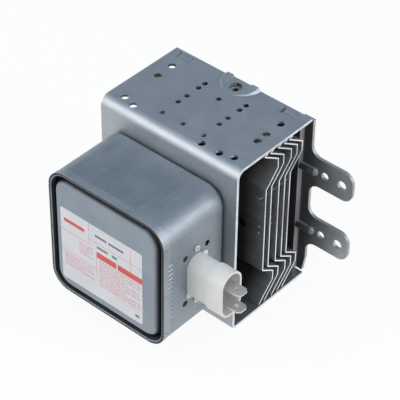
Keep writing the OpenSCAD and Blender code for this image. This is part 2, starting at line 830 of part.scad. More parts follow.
module plate_outline() {
    polygon([
        [plate_w / 2, plate_top],
        [plate_w / 2, corner_cut - plate_top],
        [plate_w / 2 - foot_cut, -plate_top],
        [corner_cut - plate_w / 2, -plate_top],
        [-plate_w / 2, corner_cut - plate_top],
        [-plate_w / 2, plate_top - corner_cut],
        [corner_cut - plate_w / 2, plate_top],
    ]);
    for (z = [-ear_pitch / 2, ear_pitch / 2])
        translate([0, z]) ear_outline();
}

// Tab that turns forward at the plate's top edge and runs under the yoke's boss
module plate_tab() {
    across_x(-tab_w / 2, tab_w / 2)
        translate([plate_mid_front - tab_len, plate_top - plate_t]) square([tab_len + past, plate_t]);
}

module mounting_plate() {
    middle = plate_mid_back - plate_t / 2;
    margin = margin_back - plate_t / 2;
    section = [
        [-plate_w / 2, margin],
        [-step_x - step_run, margin],
        [-step_x, middle],
        [step_x, middle],
        [step_x + step_run, margin],
        [ear_reach, margin],
    ];
    color("dimgray")
        difference() {
            union() {
                intersection() {
                    linear_extrude(2 * plate_top, center = true) polygon(folded(section, plate_t));
                    across_y(plate_mid_front - past, margin_back + past) plate_outline();
                }
                for (z = [-ear_pitch / 2, ear_pitch / 2]) {
                    rod([step_x, margin_front, z], [bead_x, margin_front, z], bead_r);
                    translate([bead_x, margin_front, z]) sphere(bead_r);
                }
                plate_tab();
            }
            for (z = [-ear_pitch / 2, ear_pitch / 2]) {
                groove_r = bead_r - plate_t / 2;
                rod([step_x + step_run, margin_back, z], [bead_x, margin_back, z], groove_r);
                translate([bead_x, margin_back, z]) sphere(groove_r);
                across_y(margin_front - past, margin_back + past) {
                    translate([outer_hole_x, z]) circle(d = outer_hole_d);
                    translate([inner_hole_x, z]) circle(d = inner_hole_d);
                }
            }
            translate([0, boss_hole_y, 0]) cylinder(h = far, d = tab_hole_d);
            turned_front(plate_mid_back + past) square([cup_hole_r, plate_t + 2 * past]);
        }
}

// Cooling fins and magnets

module cooling_fin(i) {
    color("gainsboro")
        translate([0, fin_y(i), 0])
            difference() {
                union() {
                    across_x(-fin_half_w, fin_half_w) polygon(folded(fin_path, fin_t));
                    ring(-fin_collar, 0, fin_bore_r + fin_t, fin_bore_r);
                    for (side = [-1, 1])
                        translate([side * (fin_half_w - lance_w), -lance_len / 2, lance_z])
                            cube([lance_w, lance_len, fin_t], center = true);
                }
                turned_back(-fin_collar - past) square([fin_bore_r, fin_collar + fin_t + 2 * past]);
                for (side = [-1, 1]) {
                    across_y(-fin_t, fin_t) {
                        translate([side * fin_hole_x, -fin_hole_z]) circle(d = fin_hole_d);
                        for (z = [-pin_hole_z, pin_hole_z])
                            translate([side * (fin_half_w - pin_hole_in), z - pin_hole_low])
                                circle(d = pin_hole_d);
                    }
                    translate([side * (fin_half_w - lance_w), 0, lance_z - (fin_t + lance_len) / 2])
                        cube([lance_w, 2 * fin_t, lance_len], center = true);
                }
            }
}

module front_magnet() {
    color("darkslategray") ring(wall_front, wall_front + front_magnet_t, magnet_d / 2, magnet_bore / 2);
}

module rear_magnet() {
    color("darkslategray")
        ring(plate_mid_front - rear_magnet_t, plate_mid_front, magnet_d / 2, magnet_bore / 2);
}

// Tube

module anode_cylinder() {
    color("peru")
        difference() {
            ring(anode_front, anode_back, anode_r, anode_in_r);
            ring(anode_front - past, anode_front + pole_t, pole_seat_r + fit, 0);
            ring(anode_back - pole_t, anode_back + past, pole_seat_r + fit, 0);
        }
}

// Slot for a strap ring in the vanes, measured from the vane's edge inwards
module strap_slot(edge, inwards, r, touches) {
    gap = touches ? fit : strap_room;
    depth = strap_h + (touches ? 0 : strap_room);
    y0 = inwards > 0 ? edge - past : edge - depth;
    ring(y0, y0 + depth + past, r + strap_t / 2 + gap, r - strap_t / 2 - gap);
}

// Vane i: even and odd vanes touch opposite straps, and the two ends are opposite too
module anode_vane(i) {
    even = i % 2 == 0;
    color("chocolate")
        difference() {
            intersection() {
                rotate([0, 360 * (i - 1) / vane_count, 0])
                    translate([-vane_t / 2, vane_front, 0]) cube([vane_t, vane_h, anode_r]);
                ring(vane_front - past, vane_back + past, anode_in_r, vane_bore_r);
            }
            strap_slot(vane_front, 1, inner_strap_r, even);
            strap_slot(vane_front, 1, outer_strap_r, !even);
            strap_slot(vane_back, -1, inner_strap_r, !even);
            strap_slot(vane_back, -1, outer_strap_r, even);
        }
}

module strap(y, r) {
    color("chocolate") ring(y, y + strap_h, r + strap_t / 2, r - strap_t / 2);
}

// Dished disc: its rim starts at the anode's end and its tip reaches towards the vanes
module pole_section() {
    polygon(folded([
        [pole_seat_r, pole_t / 2],
        [pole_flat_r, pole_t / 2],
        [pole_tip_r, pole_depth - pole_t / 2],
        [pole_hole_r, pole_depth - pole_t / 2],
    ], pole_t));
}

module front_pole_piece() {
    color("gray") turned_back(anode_front) pole_section();
}

module rear_pole_piece() {
    color("gray")
        difference() {
            turned_front(anode_back) pole_section();
            rod(antenna_lead_points()[1], antenna_lead_points()[2], antenna_lead_d / 2 + 2 * room);
        }
}

// Flanged cup of the given length whose end has a hole
module cup_section(length, hole_d) {
    polygon(folded([
        [cup_flange_d / 2, cup_t / 2],
        [cup_r - cup_t / 2, cup_t / 2],
        [cup_r - cup_t / 2, length - cup_t / 2],
        [hole_d / 2, length - cup_t / 2],
    ], cup_t));
}

module front_seal_cup() {
    color("silver") turned_front(anode_front) cup_section(front_cup_len, front_cup_hole_d);
}

module rear_seal_cup() {
    color("silver") turned_back(anode_back) cup_section(rear_cup_len, rear_cup_hole_d);
}

// Cathode and stem

module cathode_filament() {
    end_gap = filament_wire_d / 2 + fit;
    pitch = (filament_h - 2 * end_gap) / filament_turns;
    color("slategray")
        translate([0, shield_front_y + end_gap, 0])
            rotate([-90, 0, 0]) wire(coil_path(filament_r, pitch, filament_turns), filament_wire_d / 2);
}

module front_end_shield() {
    color("gray") ring(shield_front_y - shield_t, shield_front_y, shield_r, lead_r + room);
}

module rear_end_shield() {
    color("gray") ring(shield_back_y, shield_back_y + shield_t, shield_r, lead_r + fit);
}

module centre_lead() {
    color("slategray")
        wire([
            [0, shield_back_y + shield_t, 0],
            [0, lead_bend_y, 0],
            [0, lead_straight_y, stem_lead_z],
            [0, lead_end_y, stem_lead_z],
        ], lead_r);
}

module side_lead() {
    color("slategray")
        wire([
            [0, shield_front_y - shield_t, -side_lead_z],
            [0, lead_bend_y, -side_lead_z],
            [0, lead_straight_y, -stem_lead_z],
            [0, lead_end_y, -stem_lead_z],
        ], lead_r);
}

module stem_ceramic() {
    color("mistyrose")
        difference() {
            ring(stem_front, stem_back, stem_d / 2, 0);
            for (z = [-stem_lead_z, stem_lead_z])
                translate([0, 0, z]) ring(stem_front - past, stem_back + past, lead_r + fit, 0);
        }
}

module stem_terminal(z) {
    color("silver")
        translate([0, 0, z])
            difference() {
                ring(terminal_front, stem_front, stem_terminal_d / 2, 0);
                ring(lead_end_y - fit, stem_front + past, lead_r + fit, 0);
            }
}

// Antenna

module antenna_gasket() {
    color("lightgray")
        turned_back(plate_mid_back)
            translate([(gasket_d / 2 + cup_hole_r) / 2, gasket_t / 2])
                rounded_rect(gasket_d / 2 - cup_hole_r, gasket_t, gasket_edge_r);
}

module antenna_ceramic() {
    color("mistyrose")
        ring(rear_cup_reach, ceramic_back, antenna_ceramic_d / 2, antenna_ceramic_bore / 2);
}

// The lead leaves a vane's edge, passes the pole piece and runs along the axis to the pinched stem
function antenna_lead_points() = [
    [0, vane_back + fit, antenna_lead_r],
    [0, vane_back + antenna_lead_rise, antenna_lead_r],
    [0, lead_axis_y, 0],
    [0, pinch_y, 0],
];

module antenna_lead() {
    color("peru") wire(antenna_lead_points(), antenna_lead_d / 2);
}

module exhaust_stem() {
    r = exhaust_d / 2;
    color("peru") {
        ring(ceramic_back, ceramic_back + exhaust_flange_t, cap_d / 2 - cap_t - fit, r - exhaust_wall);
        ring(ceramic_back, pinch_y, r, r - exhaust_wall);
        translate([0, 0, -r])
            linear_extrude(exhaust_d)
                polygon([
                    [-r, pinch_y],
                    [r, pinch_y],
                    [exhaust_wall, pinch_y + pinch_len / 2],
                    [exhaust_wall, pinch_y + pinch_len],
                    [-exhaust_wall, pinch_y + pinch_len],
                    [-exhaust_wall, pinch_y + pinch_len / 2],
                ]);
    }
}

module cap_profile(r, length, edge_r) {
    square([r - edge_r, length]);
    square([r, length - edge_r]);
    translate([r - edge_r, length - edge_r])
        intersection() {
            circle(edge_r);
            square(edge_r);
        }
}

module antenna_cap() {
    color("silver")
        turned_back(ceramic_back)
            difference() {
                cap_profile(cap_d / 2, cap_len, cap_edge_r);
                translate([0, -past])
                    cap_profile(cap_d / 2 - cap_t, cap_len - cap_t + past, cap_edge_r - cap_t);
            }
}

// Filter box

// Short nicks in the rim band beside the corners, and a row of dents in each side wall that locks the lid
module rim_marks() {
    for (side = [-1, 1], z = [-1, 1]) {
        translate([side * (box_w / 2 - box_corner_r), rim_y, z * box_h / 2])
            cube([nick_w, 2 * band_w, 2 * nick_deep], center = true);
        translate([side * box_w / 2, rim_y, z * (box_h / 2 - box_corner_r)])
            cube([2 * nick_deep, 2 * band_w, nick_w], center = true);
    }
    for (side = [-1, 1], i = [0:dent_count - 1]) {
        x = side * (box_half + dent_r - dent_deep);
        z = dent_pitch * ((dent_count - 1) / 2 - i) - dent_z;
        rod([x, rim_y + band_w, z], [x, rim_y + band_w + dent_len, z], dent_r);
    }
}

module filter_box() {
    color("slategray")
        difference() {
            union() {
                translate([0, yoke_front, 0]) rotate([90, 0, 0])
                    drawn(wall_w, wall_h, box_d, wall_corner_r, box_edge_r);
                across_y(rim_y, rim_y + band_w) rounded_rect(box_w, box_h, box_corner_r);
            }
            translate([0, box_base_y, 0]) rotate([90, 0, 0])
                drawn(
                    wall_w - 2 * box_t,
                    wall_h - 2 * box_t,
                    box_d,
                    wall_corner_r - box_t,
                    box_edge_r - box_t
                );
            rim_marks();
            turned_front(yoke_front + past) square([cup_hole_r, box_t + 2 * past]);
            for (x = [-1, 1], z = [-1, 1])
                translate([x * box_rivet_at, 0, z * box_rivet_at])
                    across_y(box_base_y - past, yoke_front + past) circle(d = box_rivet_d + 2 * fit);
            translate([0, cap_y, cap_z])
                across_x(box_in_half - past, box_half + past) {
                    oblong(sleeve_w + 2 * fit, sleeve_h + 2 * fit);
                    for (y = [-vent_y, vent_y], z = [-vent_z, vent_z])
                        translate([y, z]) circle(d = vent_d);
                    for (z = [-cap_rivet_z, cap_rivet_z])
                        translate([0, z]) circle(d = cap_rivet_d + 2 * fit);
                }
        }
}

module filter_lid() {
    color("lightsteelblue")
        difference() {
            union() {
                difference() {
                    across_y(rim_y, rim_y + lid_depth) rounded_rect(lid_w, lid_h, lid_corner_r);
                    across_y(rim_y - past, lid_floor_y)
                        rounded_rect(lid_w - 2 * lid_t, lid_h - 2 * lid_t, lid_corner_r - lid_t);
                }
                translate([0, panel_y, 0]) rotate([-90, 0, 0])
                    drawn(panel_w, panel_h, panel_depth, panel_corner_r, panel_edge_r);
            }
            translate([0, panel_y + lid_t, 0]) rotate([-90, 0, 0])
                drawn(
                    panel_w - 2 * lid_t,
                    panel_h - 2 * lid_t,
                    panel_depth,
                    panel_corner_r - lid_t,
                    panel_edge_r - lid_t
                );
        }
}

module label() {
    color("white")
        translate([label_x, 0, label_z])
            across_y(panel_y - label_t, panel_y) rounded_rect(label_w, label_h, label_corner_r);
}

module rivet(grip_0, grip_1, shank_d, head_d) {
    ring(grip_0, grip_1, shank_d / 2, 0);
    ring(grip_0 - rivet_head_h, grip_0, head_d / 2, 0);
    ring(grip_1, grip_1 + rivet_head_h, head_d / 2, 0);
}

module box_rivets() {
    color("silver")
        for (x = [-1, 1], z = [-1, 1])
            translate([x * box_rivet_at, 0, z * box_rivet_at])
                rivet(box_base_y, wall_front, box_rivet_d, box_rivet_head_d);
}

// Capacitor

// Slots that both blades pass through, grown by a gap on every side
module blade_slots(gap) {
    for (z = [-blade_pitch / 2, blade_pitch / 2])
        translate([0, z]) square([blade_w + 2 * gap, blade_t + 2 * gap], center = true);
}

module capacitor_sleeve() {
    color("whitesmoke")
        translate([0, cap_y, cap_z])
            difference() {
                union() {
                    across_x(flange_in, sleeve_rim) oblong(sleeve_w, sleeve_h);
                    across_x(sleeve_step, sleeve_rim)
                        oblong(sleeve_w + 2 * sleeve_lip, sleeve_h + 2 * sleeve_lip);
                    across_x(box_half, box_half + foot_h)
                        for (side = [-1, 1])
                            translate([side * foot_y, side * foot_z]) circle(d = foot_d);
                }
                across_x(socket_floor, sleeve_rim + past) oblong(socket_w, socket_h);
                across_x(flange_in - past, socket_floor + past) blade_slots(fit);
            }
}

module capacitor_potting() {
    color("wheat")
        translate([0, cap_y, cap_z])
            across_x(socket_floor, socket_floor + potting_t)
                difference() {
                    oblong(socket_w - 2 * fit, socket_h - 2 * fit);
                    blade_slots(fit);
                }
}

module capacitor_body() {
    color("wheat")
        translate([0, cap_y, cap_z])
            across_x(body_back, flange_in)
                difference() {
                    oblong(sleeve_w, sleeve_h);
                    blade_slots(fit);
                }
}

module capacitor_flange() {
    color("silver")
        translate([0, cap_y, cap_z])
            across_x(flange_in, box_in_half)
                difference() {
                    oblong(cap_flange_w, 2 * cap_rivet_z + cap_flange_w / 2);
                    oblong(sleeve_w + 2 * fit, sleeve_h + 2 * fit);
                    for (y = [-vent_y, vent_y], z = [-vent_z, vent_z])
                        translate([y, z]) circle(d = vent_d + room);
                    for (z = [-cap_rivet_z, cap_rivet_z])
                        translate([0, z]) circle(d = cap_rivet_d + 2 * fit);
                }
}

module capacitor_rivets() {
    color("silver")
        for (z = [-cap_rivet_z, cap_rivet_z])
            translate([0, cap_y, cap_z + z]) rotate([0, 0, -90])
                difference() {
                    rivet(flange_in, box_half, cap_rivet_d, cap_rivet_head_d);
                    ring(box_half - box_t, box_half + past, cap_rivet_bore / 2, 0);
                }
}

// Spade blade whose tail turns towards its choke inside the box; side is 1 for the upper one
module blade(side) {
    z = side * blade_pitch / 2 + cap_z;
    tail_end = side * (choke_top + choke_wire_d);
    color("goldenrod")
        difference() {
            union() {
                translate([0, cap_y, z - blade_t / 2])
                    linear_extrude(blade_t)
                        polygon([
                            [body_back, -blade_w / 2],
                            [blade_tip - blade_chamfer, -blade_w / 2],
                            [blade_tip, blade_chamfer - blade_w / 2],
                            [blade_tip, blade_w / 2 - blade_chamfer],
                            [blade_tip - blade_chamfer, blade_w / 2],
                            [body_back, blade_w / 2],
                        ]);
                across_y(cap_y - tail_w / 2, cap_y + tail_w / 2)
                    polygon(folded([[body_back + past, z], [tail_x, z], [tail_x, tail_end]], blade_t));
            }
            translate([blade_tip - blade_hole_back, cap_y, z])
                cylinder(h = 2 * blade_t, d = blade_hole_d, center = true);
        }
}

// Chokes

module choke_core(side) {
    height = choke_top - stem_lead_z + 2 * core_proud;
    color("dimgray")
        translate([0, choke_y, side * (choke_top + stem_lead_z) / 2])
            cylinder(h = height, r = core_r, center = true);
}

module choke_coil(side) {
    turns = coil_path(choke_r, choke_pitch, choke_turns);
    lead_in = turns[0] - [choke_r, 0, 0];
    lead_out = [tail_x - blade_t / 2 - fit, choke_r, choke_pitch * choke_turns];
    color("sienna")
        mirror([0, 0, side > 0 ? 0 : 1])
            translate([0, choke_y, stem_lead_z])
                wire(concat([lead_in], turns, [lead_out]), choke_wire_r);
}

yoke();
mounting_plate();
for (i = [1:FIN_COUNT])
    cooling_fin(i);
front_magnet();
rear_magnet();
anode_cylinder();
for (i = [1:vane_count])
    anode_vane(i);
strap(vane_front, inner_strap_r);  // front_inner_strap
strap(vane_front, outer_strap_r);  // front_outer_strap
strap(vane_back - strap_h, inner_strap_r);  // rear_inner_strap
strap(vane_back - strap_h, outer_strap_r);  // rear_outer_strap
front_pole_piece();
rear_pole_piece();
front_seal_cup();
rear_seal_cup();
cathode_filament();
front_end_shield();
rear_end_shield();
centre_lead();
side_lead();
stem_ceramic();
stem_terminal(stem_lead_z);  // upper_stem_terminal
stem_terminal(-stem_lead_z);  // lower_stem_terminal
antenna_gasket();
antenna_ceramic();
antenna_lead();
exhaust_stem();
antenna_cap();
filter_box();
filter_lid();
label();
box_rivets();
capacitor_sleeve();
capacitor_potting();
capacitor_body();
capacitor_flange();
capacitor_rivets();
blade(1);  // upper_blade
blade(-1);  // lower_blade
choke_core(1);  // upper_choke_core
choke_core(-1);  // lower_choke_core
choke_coil(1);  // upper_choke_coil
choke_coil(-1);  // lower_choke_coil
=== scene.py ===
"""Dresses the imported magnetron: eased edges, finishes, sticker, knitted gasket, studio and camera."""

import logging
import math
from dataclasses import dataclass, field
from enum import Enum
from typing import Callable, Sequence

import bmesh
import bpy
from mathutils import Matrix, Vector


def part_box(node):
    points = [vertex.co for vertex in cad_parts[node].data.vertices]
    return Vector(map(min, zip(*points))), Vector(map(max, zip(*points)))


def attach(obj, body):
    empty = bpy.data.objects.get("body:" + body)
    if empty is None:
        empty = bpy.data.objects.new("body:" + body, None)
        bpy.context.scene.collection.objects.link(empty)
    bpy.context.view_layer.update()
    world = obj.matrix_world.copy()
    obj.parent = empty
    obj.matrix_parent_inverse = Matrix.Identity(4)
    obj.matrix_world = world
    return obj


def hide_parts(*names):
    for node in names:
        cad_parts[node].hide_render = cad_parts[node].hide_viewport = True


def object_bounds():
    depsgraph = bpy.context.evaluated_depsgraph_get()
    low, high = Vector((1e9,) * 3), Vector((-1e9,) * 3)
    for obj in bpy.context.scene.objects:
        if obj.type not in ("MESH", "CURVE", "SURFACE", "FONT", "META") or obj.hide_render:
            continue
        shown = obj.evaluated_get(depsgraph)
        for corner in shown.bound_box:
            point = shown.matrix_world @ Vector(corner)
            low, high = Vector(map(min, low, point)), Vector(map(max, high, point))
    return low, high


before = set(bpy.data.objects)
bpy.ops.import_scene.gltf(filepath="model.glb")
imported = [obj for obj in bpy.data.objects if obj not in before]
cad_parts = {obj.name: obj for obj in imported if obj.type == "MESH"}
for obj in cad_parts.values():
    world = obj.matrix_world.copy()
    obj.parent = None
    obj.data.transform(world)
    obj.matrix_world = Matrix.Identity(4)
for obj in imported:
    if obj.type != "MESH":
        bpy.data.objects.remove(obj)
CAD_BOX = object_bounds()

Colour = tuple[float, float, float]
Triple = tuple[float, float, float]
Span = tuple[float, float]
Socket = bpy.types.NodeSocket
Geometry = bmesh.types.BMVert | bmesh.types.BMEdge | bmesh.types.BMFace
Level = Callable[[bmesh.types.BMLoop], float]

LOG = logging.getLogger("magnetron")
MM = 0.001

# Distance within which a copied solid's points are merged, and the turn that still counts as flat
MERGE = 0.002 * MM
FLAT = math.radians(0.5)
# Distance within which a cut takes up a point that is already there
CUT = 0.001 * MM
# Share of a normal along an axis from which a face leans that way, and from which it looks that way
LEANS = 0.5
LOOKS = 0.9

# Places of the colour sockets on a mix node
MIX_FIRST, MIX_SECOND, MIX_RESULT = 6, 7, 2

# Parts of a noise pattern's range, whose values gather round 0.5
BROAD: Span = (0.3, 0.7)
CLOUDS: Span = (0.36, 0.66)
SOFT_CLOUDS: Span = (0.3, 0.72)
PATCHES: Span = (0.3, 0.6)
CRESTS: Span = (0.54, 0.72)
TROUGHS: Span = (0.3, 0.46)
PEAKS: Span = (0.68, 0.74)

FINS = [f"cooling_fin_{i}" for i in range(1, 6)]
VANES = [f"anode_vane_{i}" for i in range(1, 11)]
STRAPS = ["front_inner_strap", "front_outer_strap", "rear_inner_strap", "rear_outer_strap"]


class Grain(Enum):
    """Direction in which a finish's fine marks run, as noise scales along X, Y and Z."""

    NONE = (1.0, 1.0, 1.0)
    ALONG_X = (0.03, 1.0, 1.0)
    ALONG_Y = (1.0, 0.03, 1.0)
    ALONG_Z = (1.0, 1.0, 0.03)


class Layer(Enum):
    """Mesh layers that the finishes read."""

    WEAR = "wear"
    # Share of painted shade at each corner of a face
    GRIME = "grime"


def shown_rays(tree: bpy.types.NodeTree) -> Socket:
    """Adds a factor that is 1 for camera, glossy and transmission rays.

    Args:
        tree: Node tree of the world or of a material.

    Returns:
        The factor.
    """
    path = tree.nodes.new("ShaderNodeLightPath")
    shown = path.outputs["Is Camera Ray"]
    for ray in ("Is Glossy Ray", "Is Transmission Ray"):
        joined = tree.nodes.new("ShaderNodeMath")
        joined.operation = "MAXIMUM"
        tree.links.new(shown, joined.inputs[0])
        tree.links.new(path.outputs[ray], joined.inputs[1])
        shown = joined.outputs[0]
    return shown


class ShaderTree:
    """Builds one material's node tree round its Principled shader."""

    def __init__(self, name: str) -> None:
        """Starts a material.

        Args:
            name: Name of the material.
        """
        self.material = bpy.data.materials.new(name)
        self.material.use_nodes = True
        self.nodes = self.material.node_tree.nodes
        self.links = self.material.node_tree.links
        self.shader = self.nodes["Principled BSDF"]
        self.coords = self.nodes.new("ShaderNodeTexCoord").outputs["Object"]

    def set(self, **values: object) -> None:
        """Sets constant values on the shader's sockets, with spaces written as underscores."""
        for key, value in values.items():
            self.shader.inputs[key.replace("_", " ")].default_value = value

    def noise(self, size: float, detail: float = 4.0, grain: Grain = Grain.NONE) -> Socket:
        """Adds a noise pattern in Object coordinates.

        Args:
            size: Size of the pattern's features in metres.
            detail: Number of finer layers.
            grain: Direction in which the pattern is drawn out.

        Returns:
            The pattern's factor.
        """
        mapping = self.nodes.new("ShaderNodeMapping")
        mapping.inputs["Scale"].default_value = grain.value
        self.links.new(self.coords, mapping.inputs["Vector"])
        node = self.nodes.new("ShaderNodeTexNoise")
        node.inputs["Scale"].default_value = 1.0 / size
        node.inputs["Detail"].default_value = detail
        self.links.new(mapping.outputs["Vector"], node.inputs["Vector"])
        return node.outputs["Fac"]

    def band(self, factor: Socket, span: Span, start: float = 0.0, end: float = 1.0) -> Socket:
        """Stretches part of a factor's range.

        Args:
            factor: Factor to stretch.
            span: The two values that become start and end.
            start: New value at the first.
            end: New value at the second.

        Returns:
            The stretched factor, held between start and end.
        """
        node = self.nodes.new("ShaderNodeMapRange")
        node.clamp = True
        self.links.new(factor, node.inputs["Value"])
        for key, value in zip(("From Min", "From Max", "To Min", "To Max"), (*span, start, end)):
            node.inputs[key].default_value = value
        return node.outputs["Result"]

    def mix(self, factor: Socket, first: Colour | Socket, second: Colour | Socket) -> Socket:
        """Mixes two colours.

        Args:
            factor: Share of the second colour.
            first: Colour at 0.
            second: Colour at 1.

        Returns:
            The mixed colour.
        """
        node = self.nodes.new("ShaderNodeMix")
        node.data_type = "RGBA"
        self.links.new(factor, node.inputs["Factor"])
        for value, socket in ((first, node.inputs[MIX_FIRST]), (second, node.inputs[MIX_SECOND])):
            if isinstance(value, Socket):
                self.links.new(value, socket)
            else:
                socket.default_value = (*value, 1.0)
        return node.outputs[MIX_RESULT]

    def layer(self, layer: Layer) -> Socket:
        """Adds a mesh layer's factor.

        Args:
            layer: Layer to read.

        Returns:
            The factor, which is 0 where a mesh has no such layer.
        """
        node = self.nodes.new("ShaderNodeAttribute")
        node.attribute_name = layer.value
        return node.outputs["Fac"]

    def distance_from_middle(self) -> Socket:
        """Adds the distance from the part's middle plane along X.

        Returns:
            The distance in metres.
        """
        split = self.nodes.new("ShaderNodeSeparateXYZ")
        self.links.new(self.coords, split.inputs[0])
        node = self.nodes.new("ShaderNodeMath")
        node.operation = "ABSOLUTE"
        self.links.new(split.outputs["X"], node.inputs[0])
        return node.outputs[0]

    def join(self, operation: str, first: Socket, second: Socket) -> Socket:
        """Joins two factors by a math operation.

        Args:
            operation: Name of the math operation.
            first: First factor.
            second: Second factor.

        Returns:
            The joined factor.
        """
        node = self.nodes.new("ShaderNodeMath")
        node.operation = operation
        self.links.new(first, node.inputs[0])
        self.links.new(second, node.inputs[1])
        return node.outputs[0]

    def bump(self, height: Socket, depth: float) -> None:
        """Adds relief to the shader, over any relief that it has.

        Args:
            height: Height pattern.
            depth: Depth of the relief in metres.
        """
        node = self.nodes.new("ShaderNodeBump")
        node.inputs["Distance"].default_value = depth
        self.links.new(height, node.inputs["Height"])
        if self.shader.inputs["Normal"].is_linked:
            self.links.new(self.shader.inputs["Normal"].links[0].from_socket, node.inputs["Normal"])
        self.links.new(node.outputs["Normal"], self.shader.inputs["Normal"])

    def feed(self, socket: str, value: Socket) -> None:
        """Links a pattern to one of the shader's sockets."""
        self.links.new(value, self.shader.inputs[socket])


@dataclass(frozen=True)
class SheetMetal:
    """Plated or bare sheet: cloudy tone, fine drawn lines, bright worn edges and painted shade.

    Attributes:
        name: Name of the material.
        colour: Main tone.
        pale: Tone of the paler clouds.
        worn: Tone of worn edges and bright lines.
        grime: Tone of painted shade and of dark lines.
        metallic: Share of metal.
        smooth: Least roughness.
        rough: Greatest roughness.
        grain: Direction of the drawn lines.
        cloud: Size of the clouds.
        line: Distance between drawn lines.
        marks: Strength of the drawn lines' tones.
        line_depth: Depth of the drawn lines.
        rub: Least share of wear that shows on a worn edge.
        patch: Size of the worn patches.
        sheen: Size of the gloss changes.
        wave: Size of the sheet's soft waves.
        wave_depth: Depth of the waves.
        shade_fades_from: Distance from the middle plane where the painted shade starts to thin out.
        shade_fades_to: Distance where it has thinned out, or 0 where it never does.
        shade_rest: Share of painted shade that is left there.
    """

    name: str
    colour: Colour
    pale: Colour
    worn: Colour
    grime: Colour = (0.012, 0.013, 0.015)
    metallic: float = 0.6
    smooth: float = 0.34
    rough: float = 0.46
    grain: Grain = Grain.ALONG_X
    cloud: float = 16 * MM
    line: float = 0.8 * MM
    marks: float = 0.16
    line_depth: float = 0.006 * MM
    rub: float = 0.45
    patch: float = 5 * MM
    sheen: float = 4 * MM
    wave: float = 11 * MM
    wave_depth: float = 0.05 * MM
    shade_fades_from: float = 0.0
    shade_fades_to: float = 0.0
    shade_rest: float = 0.0

    def make(self) -> bpy.types.Material:
        """Makes the finish.

        Returns:
            The finish as a material.
        """
        tree = ShaderTree(self.name)
        tree.set(Metallic=self.metallic)
        drawn = tree.noise(self.line, detail=3.0, grain=self.grain)
        toned = tree.mix(tree.band(tree.noise(self.cloud), CLOUDS), self.colour, self.pale)
        toned = tree.mix(tree.band(drawn, CRESTS, 0.0, self.marks), toned, self.worn)
        toned = tree.mix(tree.band(drawn, TROUGHS, self.marks, 0.0), toned, self.grime)
        rubbed = tree.band(tree.noise(self.patch, detail=3.0), PATCHES, self.rub, 1.0)
        toned = tree.mix(tree.join("MULTIPLY", tree.layer(Layer.WEAR), rubbed), toned, self.worn)
        # Painted shade from the mesh layer darkens the tone
        toned = tree.mix(self.painted_shade_share(tree), toned, self.grime)
        tree.feed("Base Color", toned)
        tree.feed("Roughness", tree.band(tree.noise(self.sheen), BROAD, self.smooth, self.rough))
        tree.bump(drawn, self.line_depth)
        tree.bump(tree.noise(self.wave, detail=2.0), self.wave_depth)
        return tree.material

    def painted_shade_share(self, tree: ShaderTree) -> Socket:
        """Works out where painted shade darkens the sheet; it may thin out towards the part's open ends.

        Args:
            tree: Tree of the finish.

        Returns:
            The share of painted shade.
        """
        share = tree.layer(Layer.GRIME)
        if not self.shade_fades_to:
            return share
        shade_fade = (self.shade_fades_from, self.shade_fades_to)
        thinned = tree.band(tree.distance_from_middle(), shade_fade, 1.0, self.shade_rest)
        return tree.join("MULTIPLY", share, thinned)


@dataclass(frozen=True)
class PlainFinish:
    """Moulded, fired, sintered or printed surface: soft tone changes, specks and fine relief.

    Attributes:
        name: Name of the material.
        colour: Main tone.
        second: Tone of the clouds and specks.
        roughness: Mean roughness.
        spread: How far the roughness strays from its mean.
        metallic: Share of metal.
        cloud: Size of the clouds.
        relief: Depth of the fine relief.
        relief_size: Size of its grains.
        speck: Size of the specks.
        speck_share: Strength of the specks.
        sheen: Size of the gloss changes.
    """

    name: str
    colour: Colour
    second: Colour
    roughness: float = 0.5
    spread: float = 0.08
    metallic: float = 0.0
    cloud: float = 9 * MM
    relief: float = 0.012 * MM
    relief_size: float = 0.5 * MM
    speck: float = 0.8 * MM
    speck_share: float = 0.5
    sheen: float = 2 * MM

    def make(self) -> bpy.types.Material:
        """Makes the finish.

        Returns:
            The finish as a material.
        """
        tree = ShaderTree(self.name)
        tree.set(Metallic=self.metallic)
        clouds = tree.band(tree.noise(self.cloud, detail=6.0), SOFT_CLOUDS)
        specks = tree.band(tree.noise(self.speck, detail=2.0), PEAKS, 0.0, self.speck_share)
        toned = tree.mix(clouds, self.colour, self.second)
        tree.feed("Base Color", tree.mix(specks, toned, self.second))
        low, high = self.roughness - self.spread, self.roughness + self.spread
        tree.feed("Roughness", tree.band(tree.noise(self.sheen), BROAD, low, high))
        tree.bump(tree.noise(self.relief_size), self.relief)
        return tree.material


def printed(name: str, colour: Colour, second: Colour) -> PlainFinish:
    """Returns a finish of the sticker's paper or ink, which is flatter than a moulded one."""
    return PlainFinish(name, colour, second, roughness=0.45, relief=0.003 * MM)


Finish = SheetMetal | PlainFinish

# Painted shade inside the yoke thins out towards its open ends
ZINC_YOKE = SheetMetal("zinc_yoke", (0.37, 0.40, 0.43), (0.41, 0.44, 0.47), (0.80, 0.82, 0.84),
                       metallic=0.85, smooth=0.41, rough=0.49, marks=0.03, line_depth=0.002 * MM,
                       shade_fades_from=22 * MM, shade_fades_to=38 * MM, shade_rest=0.15)
ZINC_BOX = SheetMetal("zinc_box", (0.25, 0.285, 0.32), (0.295, 0.33, 0.365), (0.46, 0.51, 0.55),
                      metallic=0.7, smooth=0.4, rough=0.52, grain=Grain.ALONG_Y, marks=0.09,
                      line_depth=0.005 * MM)
ZINC_LID = SheetMetal("zinc_lid", (0.245, 0.29, 0.335), (0.285, 0.33, 0.375), (0.50, 0.54, 0.58),
                      smooth=0.42, rough=0.52, marks=0.04, line_depth=0.003 * MM)
